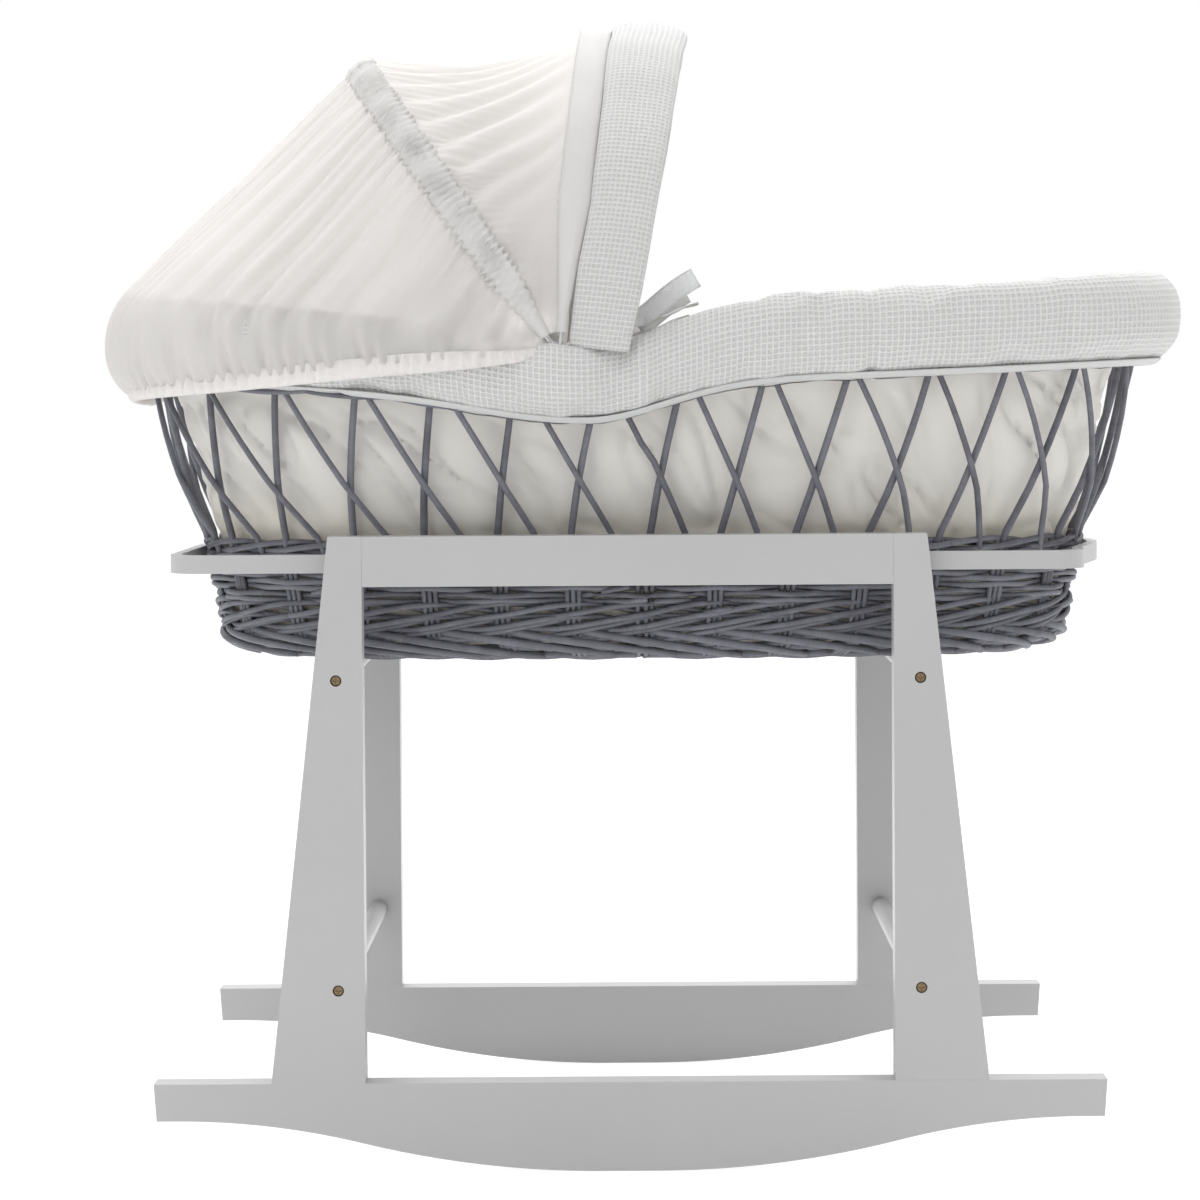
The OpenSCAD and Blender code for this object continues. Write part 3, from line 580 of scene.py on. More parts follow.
class Around:
    """Angles by arc length round the rim."""

    samples = 1440

    def __init__(self):
        points = [rim_point(TAU * i / self.samples) for i in range(self.samples + 1)]
        self.total = running_length(points)
        self.length = self.total[-1]

    def angle(self, s):
        turns = math.floor(s / self.length)
        s -= turns * self.length
        lo, hi = 0, self.samples
        while hi - lo > 1:
            mid = (lo + hi) // 2
            if self.total[mid] <= s:
                lo = mid
            else:
                hi = mid
        share = (s - self.total[lo]) / (self.total[hi] - self.total[lo])
        return TAU * (lo + share) / self.samples + TAU * turns


class Hold:
    """Values worked out once the sizes are registered."""

    around = None
    seams = ()


def angle_along(s):
    return Hold.around.angle(s)


def rim_around():
    return Hold.around.length


# ---------- Stand and metalwork: frame pieces with eased edges and finishes ----------

WOODEN = [
    "front_rocker", "rear_rocker", "front_head_leg", "front_foot_leg", "rear_head_leg",
    "rear_foot_leg", "front_top_rail", "rear_top_rail", "head_upper_dowel", "foot_upper_dowel",
    "head_lower_dowel", "foot_lower_dowel", "head_end_hoop", "foot_end_hoop",
]


def refinish(node, finish):
    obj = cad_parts[node]
    obj.data.materials.clear()
    obj.data.materials.append(finish_of(finish))
    return obj


class BASSINET_OT_stand(bpy.types.Operator):
    """Paints the stand's wooden parts and eases their edges"""

    bl_idname = "bassinet.stand"
    bl_label = "Painted stand"

    def execute(self, context):
        for node in WOODEN:
            obj = refinish(node, "painted_wood")
            join = obj.modifiers.new("Weld", "WELD")
            join.merge_threshold = 1e-5
            flat = obj.modifiers.new("Flat faces", "DECIMATE")
            flat.decimate_type = "DISSOLVE"
            flat.angle_limit = math.radians(0.5)
            edge = obj.modifiers.new("Eased edges", "BEVEL")
            edge.width = 1.6 * MM
            edge.segments = 3
            edge.limit_method = "ANGLE"
            edge.angle_limit = math.radians(35)
            edge.harden_normals = True
        for node in ("rocker_pegs", "rail_pegs"):
            refinish(node, "beech")
        return {"FINISHED"}


class BASSINET_OT_metalwork(bpy.types.Operator):
    """Gives the screws, brackets, pins and hoops their metal finishes"""

    bl_idname = "bassinet.metalwork"
    bl_label = "Metalwork"

    def execute(self, context):
        for node in ("dowel_screws", "hoop_screws"):
            refinish(node, "bronze")
        for node in ("hinge_plates", "pivot_pins", "mid_hoop", "mid_eyes", "front_hoop", "front_eyes"):
            refinish(node, "steel")
        return {"FINISHED"}


# ---------- Wicker ----------


class BASSINET_OT_woven_band(bpy.types.Operator):
    """Weaves the lower band: stakes, plain rows, slanted wales and the plaited foot border"""

    bl_idname = "bassinet.woven_band"
    bl_label = "Woven band"
    foot_h = 0.026
    depth = 0.0066
    sides = 7
    stake_gap = 0.0052
    thin = 0.0021
    stake_levels = (0.004, 0.009, 0.015, 0.022, 0.03, 0.055)
    swing = 0.0042
    twist = 0.0040
    cut_count = 22
    border_gaps = 2.45

    def execute(self, context):
        self.draw = random.Random(11)
        bm = bmesh.new()
        s = sizes()
        self.spacing = rim_around() / s.stakes
        rows = round((BAND_H - self.foot_h) / s.wale_pitch)
        self.stakes(bm, s)
        for row in range(rows):
            h = self.foot_h + s.wale_pitch * (row + 0.5)
            if row >= rows - 2 or row < 2:
                self.wale(bm, h, 0.0 if row >= rows - 2 else 0.4)
            else:
                self.plain_row(bm, h, row)
        self.cut_ends(bm)
        obj = piece("woven_band", bm, ["willow", "willow_end"], "basket")
        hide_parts("lower_weave")

        bm = bmesh.new()
        self.border(bm, s)
        obj = piece("foot_border", bm, ["willow", "willow_end"], "basket")
        return {"FINISHED"}

    def stakes(self, bm, s):
        """Three thin stakes stand side by side at each place."""
        levels = (*self.stake_levels, BAND_H - 0.004)
        for i in range(s.stakes):
            for k in (-1, 0, 1):
                at = self.spacing * i + k * self.stake_gap
                path = [wall_point(angle_along(at), h, self.depth) for h in levels]
                tube(bm, path, self.thin, 6, self.draw.random(), ends=CUT)

    def ring(self, h, shape, steps):
        """A closed path round the wall; shape(s) gives how far out and how far up it runs."""
        path = []
        for i in range(steps):
            s = rim_around() * i / steps
            out, up = shape(s)
            path.append(wall_point(angle_along(s), h + up, self.depth - out))
        return path

    def weave(self, bm, h, shape):
        """One weaver round the whole band."""
        s = sizes()
        tube(bm, self.ring(h, shape, s.stakes * 8), s.weaver / 2, self.sides,
             self.draw.random(), closed=True, total=rim_around())

    def plain_row(self, bm, h, row):
        """Two rods side by side, in front of one stake group and behind the next."""
        for k in (-1, 1):
            drift = self.draw.uniform(0, TAU)

            def shape(at):
                out = math.cos(math.pi * at / self.spacing + row * math.pi)
                lens = math.sin(math.pi * at / self.spacing + row * math.pi)
                wander = 0.5 * math.sin(at * 23 + drift) + 0.5 * math.sin(at * 41 + 2 * drift)
                return (out * self.swing, k * (0.0016 + 0.0012 * abs(lens)) + wander * 0.0006)

            self.weave(bm, h, shape)

    def wale(self, bm, h, slant):
        """Three rods that turn round each other, which shows as long slanted strokes."""
        turns = round(sizes().stakes / 3)
        for k in range(3):
            drift = self.draw.uniform(0, TAU)

            def shape(at):
                a = TAU * (turns * at / rim_around() + k / 3)
                wander = math.sin(at * 31 + drift)
                return (math.cos(a) * self.twist,
                        math.sin(a) * (0.0036 + slant * 0.004) + wander * 0.0005)

            self.weave(bm, h, shape)

    def cut_ends(self, bm):
        """Short cut ends of weavers that stick out of the band here and there."""
        edge = 0.008
        for i in range(self.cut_count):
            at = rim_around() * (i + self.draw.uniform(-0.35, 0.35)) / self.cut_count
            h = self.foot_h + edge + self.draw.random() * (BAND_H - self.foot_h - 2 * edge)
            path = []
            for k in range(4):
                depth = self.depth - 0.002 - 0.0011 * k
                path.append(wall_point(angle_along(at + 0.008 * k), h + 0.0012 * k, depth))
            tube(bm, path, self.thin, 6, self.draw.random(), ends=CUT)

    def slanting(self, start, shape):
        """A path that runs on round the wall; shape(v) gives its height and its depth."""
        steps = 12
        path = []
        for k in range(steps + 1):
            v = k / steps
            reach = self.border_gaps * self.spacing
            path.append(wall_point(angle_along(start + reach * v), *shape(v)))
        return path

    def border(self, bm, s):
        """Thick rods slant down along the foot, each ending cut off on top of the next."""
        for i in range(s.stakes):
            start = self.spacing * (i + self.draw.uniform(-0.08, 0.08))
            thick = self.draw.uniform(0.0029, 0.0034)
            fall = self.draw.uniform(0.018, 0.021)

            def falling(v):
                bulge = 0.0030 * math.sin(math.pi * min(1.0, v * 1.15))
                out = 0.0005 + bulge - 0.004 * (1 - v) ** 3
                return 0.0255 - fall * v - 0.001, self.depth * 0.7 - out

            tube(bm, self.slanting(start, falling), lambda v: thick * (1 - 0.12 * v), 8,
                 self.draw.random(), ends=CUT)
        for h in (0.0045, 0.0115, 0.0190):
            def ripple(at):
                return -0.0016 + 0.0010 * math.sin(at * 57 + h * 900), 0

            tube(bm, self.ring(h, ripple, s.stakes * 8), 0.0030, 6, self.draw.random(),
                 closed=True, total=rim_around())
        for i in range(s.stakes):
            start = self.spacing * (i + 0.5 + self.draw.uniform(-0.1, 0.1))

            def rising(v):
                out = 0.0035 * math.sin(math.pi * v) - 0.001
                return 0.009 + 0.026 * v, self.depth * 1.2 - out

            tube(bm, self.slanting(start, rising), 0.0026, 7, self.draw.random(), ends=CUT)


class BASSINET_OT_woven_base(bpy.types.Operator):
    """Weaves the flat bottom from cross sticks and oval rings of weavers"""

    bl_idname = "bassinet.woven_base"
    bl_label = "Woven base"

    def execute(self, context):
        draw = random.Random(5)
        bm = bmesh.new()
        thick = high("basket_base").z - BASE_Z
        mid = BASE_Z + thick / 2
        sticks, spread = 15, 0.93
        stick_radius, weaver_radius = 0.0024, 0.0021
        for i in range(sticks):
            x = BASE_HALF.x * spread * (2 * i / (sticks - 1) - 1)
            reach = BASE_HALF.y * (1 - abs(x / BASE_HALF.x) ** OVAL_POWER) ** (1 / OVAL_POWER)
            ends = [Vector((x, y, mid)) for y in (-reach, -reach / 2, 0, reach / 2, reach)]
            tube(bm, ends, stick_radius, 6, draw.random(), ends=CUT)
        rings = 22
        for k in range(rings):
            inset = (k + 0.5) * BASE_HALF.y / rings
            half = Vector((BASE_HALF.x - inset, max(0.004, BASE_HALF.y - inset)))
            steps = max(60, round(260 * (1 - 0.5 * k / rings)))
            path = []
            for i in range(steps):
                x, y = oval(TAU * i / steps)
                wave = math.cos(math.pi * (x * half.x / BASE_HALF.x * (sticks - 1) / (2 * spread) + k))
                rise = wave * (thick / 2 - weaver_radius)
                path.append(Vector((x * half.x, y * half.y, mid + rise)))
            tube(bm, path, weaver_radius, 6, draw.random(), closed=True, total=4 * half.x)
        obj = piece("woven_base", bm, ["willow", "willow_end"], "basket")
        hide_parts("basket_base")
        return {"FINISHED"}


class BASSINET_OT_lattice(bpy.types.Operator):
    """Sets the two leaning layers of rods between the band and the padded rim"""

    bl_idname = "bassinet.lattice"
    bl_label = "Lattice"
    cross_height = 0.045
    sunk = 0.016
    foot = 0.008
    tuck = 0.0073
    steps = 10

    def execute(self, context):
        outer_lean, inner_lean = 0.54, 0.234
        phase = (outer_lean + inner_lean) * (self.cross_height + self.foot)
        self.layer("lattice_outer", "outer_rods", -outer_lean, phase, 0.0048, 0.0047, 7)
        self.layer("lattice_inner", "inner_rods", inner_lean, 0.0, 0.0056, 0.0060, 3)
        return {"FINISHED"}

    def layer(self, name, node, lean, phase, thick, depth, seed):
        """depth is how far in the foot is set; from where the layers cross the rods touch the face."""
        draw = random.Random(seed)
        bm = bmesh.new()
        side = -1 if lean < 0 else 1
        for i in range(sizes().stakes):
            s = rim_around() * i / sizes().stakes + phase + draw.uniform(-0.0015, 0.0015)
            own = lean * draw.uniform(0.95, 1.05)
            bend = draw.uniform(-0.003, 0.003)
            low_h = BAND_H - self.sunk
            climb = rim_level(angle_along(s)) - self.tuck - (BAND_H - self.foot)
            path = []
            for k in range(self.steps + 1):
                v = k / self.steps
                rise = (climb + self.foot) * v - self.foot
                t = angle_along(s + own * max(rise, 0) + bend * math.sin(math.pi * v))
                level = min(low_h + self.foot + rise, rim_level(t) - self.tuck)
                on_face = side * (thick / 2 + 0.0002)
                d = lerp(depth, on_face, min(1.0, max(0.0, rise / self.cross_height)))
                path.append(wall_point(t, level, d))
            tube(bm, path, lambda v, r=thick / 2: r * (1.06 - 0.12 * v), 8, draw.random(), ends=CUT)
        obj = piece(name, bm, ["willow", "willow_end"], "basket")
        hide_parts(node)


class BASSINET_OT_rim_hoop(bpy.types.Operator):
    """Bends the wicker hoop inside the padded rim and the binding rods below it"""

    bl_idname = "bassinet.rim_hoop"
    bl_label = "Wicker rim hoop"

    def execute(self, context):
        draw = random.Random(2)
        bm = bmesh.new()
        steps = 260
        angles = [angle_along(rim_around() * i / steps) for i in range(steps)]
        turns, strand = 24, 0.0034
        for k in range(3):
            path = []
            for i, t in enumerate(angles):
                a = TAU * (turns * i / steps + k / 3)
                out = oval_out(t, RIM_HALF)
                path.append(rim_point(t) + (out * math.cos(a) + UP * math.sin(a)) * strand)
            tube(bm, path, strand, 7, draw.random(), closed=True, total=rim_around())
        waves, binder = 16, 0.0023
        for k in range(2):
            path = []
            for i, t in enumerate(angles):
                out = oval_out(t, RIM_HALF)
                wave = 0.0022 * math.sin(TAU * waves * i / steps + math.pi * k)
                path.append(rim_point(t) + out * (0.0058 + wave * 0.4) - UP * (0.0285 + wave))
            tube(bm, path, binder, 6, draw.random(), closed=True, total=rim_around())
        obj = piece("wicker_rim_hoop", bm, ["willow"], "basket")
        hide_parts("rim_hoop")
        return {"FINISHED"}


# ---------- Padded rim, liner and mattress ----------


ROLL_POWER = 0.88
SEAM_X = 0.17
HEM_TOP = 143
HEM_LOW = 160


def footward(t):
    """1 at the foot, -1 at the head and 0 at the sides."""
    x = oval(t)[0]
    return x * abs(x)


def roll_height(t):
    return sizes().roll_half + 0.006 * footward(t)


def roll_point(t, a, swell=0.0):
    """A point on the padded rim's skin; a is measured from the top, positive outwards."""
    s = sizes()
    w = s.roll_out + 0.008 * max(0.0, footward(t)) if math.sin(a) > 0 else s.roll_in
    h = roll_height(t)
    out = signed_power(math.sin(a), ROLL_POWER) * (w + swell)
    up = signed_power(math.cos(a), ROLL_POWER) * (h + swell)
    return rim_point(t) + oval_out(t, RIM_HALF) * out + UP * up


def relax(obj, pinned, pressure, grow, cap, frames=20):
    """Swells and puckers a sewn skin by cloth simulation; pinned(index) gives each point's hold."""
    rest = [v.co.copy() for v in obj.data.vertices]
    hold = obj.vertex_groups.new(name="hold")
    for i in range(len(rest)):
        weight = pinned(i)
        if weight > 0:
            hold.add([i], weight, "REPLACE")
    cloth = obj.modifiers.new("Cloth", "CLOTH")
    how = cloth.settings
    how.quality = 6
    how.mass = 0.25
    how.vertex_group_mass = "hold"
    how.use_pressure = True
    how.uniform_pressure_force = pressure
    how.shrink_min = -grow
    how.tension_stiffness = how.compression_stiffness = 18
    how.shear_stiffness = 6
    how.bending_stiffness = 0.4
    how.effector_weights.gravity = 0
    cloth.collision_settings.use_collision = False
    scene = bpy.context.scene
    for moment in range(1, frames + 1):
        scene.frame_set(moment)
    shown = obj.evaluated_get(bpy.context.evaluated_depsgraph_get())
    moved = [v.co.copy() for v in shown.data.vertices]
    obj.modifiers.remove(cloth)
    scene.frame_set(1)
    for v, was, now in zip(obj.data.vertices, rest, moved):
        shift = now - was
        if shift.length > cap:
            shift *= cap / shift.length
        v.co = was + shift
    obj.vertex_groups.clear()


class BASSINET_OT_padded_rim(bpy.types.Operator):
    """Sews the waffle cloth roll over the wicker hoop, with its plain hem below"""

    bl_idname = "bassinet.padded_rim"
    bl_label = "Padded rim"
    around = 420
    section = 44

    def over_bracket(self, p):
        """How far the cloth stands out over the hood's brackets and pins."""
        if abs(p.y) < RIM_HALF.y + 0.010:
            return 0.0
        away = ((p.x - PIVOT.x - 0.003) / 0.031) ** 2 + ((p.z - PIVOT.z + 0.006) / 0.027) ** 2
        return (high("pivot_pins").y + 0.001 - abs(p.y)) * math.exp(-(away ** 1.7))

    def seam(self, s):
        """Depth of the cross seams, which are pulled in a little."""
        depth = 0.0
        for place in Hold.seams:
            gap = min(abs(s - place), rim_around() - abs(s - place))
            depth += 0.0030 * math.exp(-((gap / 0.004) ** 2))
        return depth

    def execute(self, context):
        total = rim_around()

        def place(u, v):
            s = total * v
            t = angle_along(s)
            a = TAU * u + math.pi
            x, y = math.cos(TAU * v), math.sin(TAU * v)
            lump = noise.noise(Vector((x * 5, y * 5, math.sin(a) * 0.7)))
            fine = noise.noise(Vector((x * 22, y * 22, math.cos(a))))
            below = smoothstep(math.radians(HEM_TOP - 9), math.radians(HEM_TOP + 1),
                               a if a < math.pi else a - TAU)
            swell = -0.0015 + 0.0030 * lump + 0.0013 * fine - self.seam(s) - 0.0009 * below
            p = roll_point(t, a, swell)
            return p + oval_out(t, RIM_HALF) * self.over_bracket(p)

        section = running_length([
            roll_point(math.pi / 2, TAU * k / self.section + math.pi)
            for k in range(self.section + 1)])

        bm = bmesh.new()
        net(bm, self.section, self.around, place,
            lambda u, v: (section[round(u * self.section)], total * v), wrap=True)
        weld(bm)
        obj = piece("padded_rim", bm, ["waffle"], "basket")
        points = [v.co.z for v in obj.data.vertices]
        lows = [rim_level_at(v.co.x) + BASE_Z - 0.75 * sizes().roll_half for v in obj.data.vertices]
        relax(obj, lambda i: 1.0 if points[i] < lows[i] else 0.0, 2.2, 0.02, 0.006)
        smooth = obj.modifiers.new("Smooth", "SUBSURF")
        smooth.levels = smooth.render_levels = 1
        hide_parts("rim_cover")
        self.hem(total)
        return {"FINISHED"}

    def hem(self, total):
        def place(u, v):
            t = angle_along(total * v)
            a = math.radians(lerp(HEM_TOP, HEM_LOW, u))
            lift = 0.0095 * bare_arc(t) * smoothstep(0.2, 1.0, u)
            pucker = 0.0005 * math.sin(total * v * TAU / 0.017) * math.sin(math.pi * u)
            return roll_point(t, a, pucker - 0.0002 * (1 - u)) + UP * lift

        bm = bmesh.new()
        net(bm, 5, self.around, place, (0.010, total))
        weld(bm)
        obj = piece("rim_hem_strip", bm, ["hem"], "basket")
        thicken(obj, 0.0008, 1.0)
        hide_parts("rim_hem")


def bare_arc(t):
    """1 where the hood's elastic pulls the rim's hem up near the head, 0 elsewhere."""
    x = oval(t)[0] * RIM_HALF.x
    return smoothstep(-0.215, -0.26, x) * (1 - smoothstep(-0.33, -0.375, x))


class BASSINET_OT_liner(bpy.types.Operator):
    """Hangs the cotton liner inside the lattice, creased and slack, down to the bottom"""

    bl_idname = "bassinet.liner"
    bl_label = "Liner"

    def crease(self, s, h):
        """How far the slack cloth stands inwards, in folds that run slantwise."""
        ring = TAU * s / rim_around() + 2.6 * h
        p = Vector((math.cos(ring) * 2.0, math.sin(ring) * 2.0, h * 6.5))
        warp = noise.noise(p * 1.3) * 1.1
        a = 1 - abs(noise.noise(Vector((p.x * 1.7 + warp, p.y * 1.7, p.z * 2.0 + warp))) * 2.2)
        b = 1 - abs(noise.noise(Vector((p.x * 4, p.y * 4 + warp, p.z * 3.4 + warp * 2))) * 2.2)
        return 0.0080 * max(0.0, a) ** 5 + 0.0046 * max(0.0, b) ** 5 + 0.006 * noise.noise(p * 1.4)

    def execute(self, context):
        total = rim_around()
        corner, floor = 0.030, 0.0092
        wall_end, corner_end = 0.66, 0.78
        half = BASE_HALF - Vector((0.001, 0.001))

        def wall(t, s, h, share):
            slack = self.crease(s, h) * smoothstep(0.0, 0.16, share) * smoothstep(1.0, 0.86, share)
            least = lerp(0.0150, 0.0095, smoothstep(BAND_H, BAND_H + 0.03, h))
            return wall_point(t, h, max(least, 0.0130 + slack))

        def place(u, v):
            s = total * u
            t = angle_along(s)
            x, y = oval(t)
            top = rim_level(t) - 0.024
            if v < wall_end:
                return wall(t, s, lerp(top, corner, v / wall_end), v / wall_end)
            if v < corner_end:
                a = math.pi / 2 * (v - wall_end) / (corner_end - wall_end)
                foot = wall(t, s, corner, 1.0)
                p = Vector((x * half.x, y * half.y, foot.z)).lerp(foot, math.cos(a))
                return p - UP * ((corner - floor) * math.sin(a))
            share = 1 - (v - corner_end) / (1 - corner_end)
            return Vector((x * half.x * share, y * half.y * share, BASE_Z + floor))

        bm = bmesh.new()
        net(bm, 480, 64, place, (total, 0.36), wrap=True)
        weld(bm)
        bmesh.ops.recalc_face_normals(bm, faces=bm.faces)
        area = sum(f.calc_area() for f in bm.faces)
        obj = piece("liner", bm, ["liner"], "basket")
        thicken(obj, 0.0012)
        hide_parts("liner_wall", "liner_floor")
        return {"FINISHED"}


class BASSINET_OT_mattress(bpy.types.Operator):
    """Stuffs the mattress: a crowned oval pad with a piped edge"""

    bl_idname = "bassinet.mattress"
    bl_label = "Mattress"

    def execute(self, context):
        lo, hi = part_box("mattress_cover")
        half = Vector((hi.x, hi.y))
        tall = hi.z - lo.z
        edge, crown_rise, piping = 0.014, 0.004, 0.0016
        bottom, side = 0.2, 0.25

        def place(u, v):
            x, y = oval(TAU * u)
            turn = min(1.0, max(0.0, (v - bottom) / side)) * math.pi - math.pi / 2
            share = min(1.0, v / bottom, (1 - v) / 0.55)
            rise = 0.5 + 0.5 * math.sin(turn)
            out = edge * signed_power(math.cos(turn), 0.7)
            out += 0.006 * smoothstep(0.3, 0.8, rise) * (v < 0.5)
            out += piping * math.exp(-(((v - 0.40) / 0.018) ** 2))
            crown = crown_rise * (1 - share * share) * (v > 0.45)
            p = Vector((x * (half.x - edge) * share, y * (half.y - edge) * share, 0))
            wrinkle = 0.0016 * noise.noise(Vector((p.x * 24, p.y * 24, rise * 3)))
            return p + oval_out(TAU * u, half) * out + UP * (
                lo.z + 0.0005 + tall * rise * 0.97 + crown + wrinkle * (v > 0.3))

        bm = bmesh.new()
        net(bm, 240, 52, place, (1.6, 0.4), wrap=True)
        weld(bm)
        obj = piece("mattress", bm, ["ticking"], "basket")
        floor = lo.z + 0.3 * tall
        heights = [v.co.z for v in obj.data.vertices]
        relax(obj, lambda i: 1.0 if heights[i] < floor else 0.0, 1.5, 0.01, 0.005)
        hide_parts("mattress_foam", "mattress_cover")
        return {"FINISHED"}


# ---------- Hood ----------

MID_ANGLE = math.radians(125)
FRONT_ANGLE = math.radians(84)
WIRE_R = 1.7 * MM
MID_Y = high("mid_hoop").y - WIRE_R
FRONT_Y = high("front_hoop").y - WIRE_R
CHANNEL_START = 0.026
CHANNEL_HALF = 0.012
CHANNEL_FOOT = 0.0029
PANEL_START = 0.018
SLEEVE_START = 0.017
TRIM_START = 0.007
UNDER = 0.002


class Bow:
    """A wire hoop: two straight arms and a half round top, in a plane through the pivots."""

    def __init__(self, y, reach, angle):
        self.y, self.reach, self.angle = y, reach, angle
        self.up = Vector((math.cos(angle), 0, math.sin(angle)))
        self.off = Vector((math.sin(angle), 0, -math.cos(angle)))
        self.length = 2 * (reach - y) + math.pi * y

    def at(self, s):
        """The point at distance s along the hoop and the outward direction there."""
        arm = self.reach - self.y
        if s < arm:
            return Vector((self.y, s)), Vector((1, 0))
        if s > arm + math.pi * self.y:
            return Vector((-self.y, self.length - s)), Vector((-1, 0))
        a = (s - arm) / self.y
        out = Vector((math.cos(a), math.sin(a)))
        return Vector((self.y * out.x, arm + self.y * out.y)), out

    def near(self, s, lift, off):
        """A point near the hoop: lift is outwards in its plane, off is forwards out of it."""
        p, out = self.at(s)
        p = p + out * lift
        return PIVOT + Vector((0, p.x, 0)) + self.up * p.y + self.off * off

    def station(self, share, start):
        return lerp(start, self.length - start, share)

    def channel(self, s):
        """Half width of the sewn channel, which narrows towards the eyes."""
        near = min(s, self.length - s)
        return min(CHANNEL_HALF, CHANNEL_FOOT + 0.1 * (near - CHANNEL_START))


MID = Bow(MID_Y, 0.286, MID_ANGLE)
FRONT = Bow(FRONT_Y, 0.265, FRONT_ANGLE)
HOOD_PLEATS = 112


def pleat(phase, sharp=1.6):
    """A rounded fold with a narrow valley, from 0 to 1."""
    return (0.5 + 0.5 * math.cos(phase)) ** sharp


def gathers(share, run, seed):
    """Height of small gathers at a place along a sewn line, uneven from fold to fold."""
    uneven = 1.1 * noise.noise(Vector((share * 19, seed, run * 1.3)))
    strength = 0.65 + 0.7 * noise.noise(Vector((share * 31, seed + 7, run * 0.6)))
    return (pleat(TAU * (share * HOOD_PLEATS + uneven)) - 0.4) * max(0.15, strength)


def soft_folds(share, run, seed, count=26):
    wander = 0.9 * noise.noise(Vector((share * 6, seed, run * 1.1)))
    depth = 0.5 + 0.8 * noise.noise(Vector((share * 9, seed + 3, run * 0.9)))
    return math.sin(TAU * (share * count + wander)) * max(0.0, depth)


def hem_reach():
    return 0.25 - (-PIVOT.x + 0.012) / rim_around()


def hem_angle(c):
    """Angle of a place along the hem: -1 beside the front pivot, 0 at the head, 1 at the rear."""
    return angle_along(rim_around() * (0.5 - c * hem_reach()))


def beside_rim(t, o, z):
    return rim_point(t) + oval_out(t, RIM_HALF) * o + UP * z


def bend(points, s):
    """A point on the Bezier curve of the given points."""
    while len(points) > 1:
        points = [a.lerp(b, s) for a, b in zip(points, points[1:])]
    return points[0]


def hem_offset(q):
    """Offset out and up of the hood's hem: q is 0 beside a pivot and 1 at the head."""
    return bend([Vector((0.034, 0.020)), Vector((0.040, -0.034)), Vector((0.003, -0.040))], q)


def knee_offset(q):
    """Offset of the line where the rear cloth leaves its straight run and turns down."""
    return Vector((lerp(0.033, 0.014, q), lerp(0.026, 0.044, q)))


def raised(surface, u, v, lift):
    """The surface's point at (u, v), lifted along its normal away from the pivots."""
    p = surface(u, v)
    du = surface(min(1, u + 0.004), v) - surface(max(0, u - 0.004), v)
    dv = surface(u, min(1, v + 0.01)) - surface(u, max(0, v - 0.01))
    out = du.cross(dv)
    out = out.normalized() if out.length > 1e-9 else UP
    return p + out * (lift if out.dot(p - PIVOT) > 0 else -lift)


def hollowed(p, depth):
    """The point, drawn towards the pivots as slack cloth is between its seams."""
    return p - (p - PIVOT).normalized() * depth


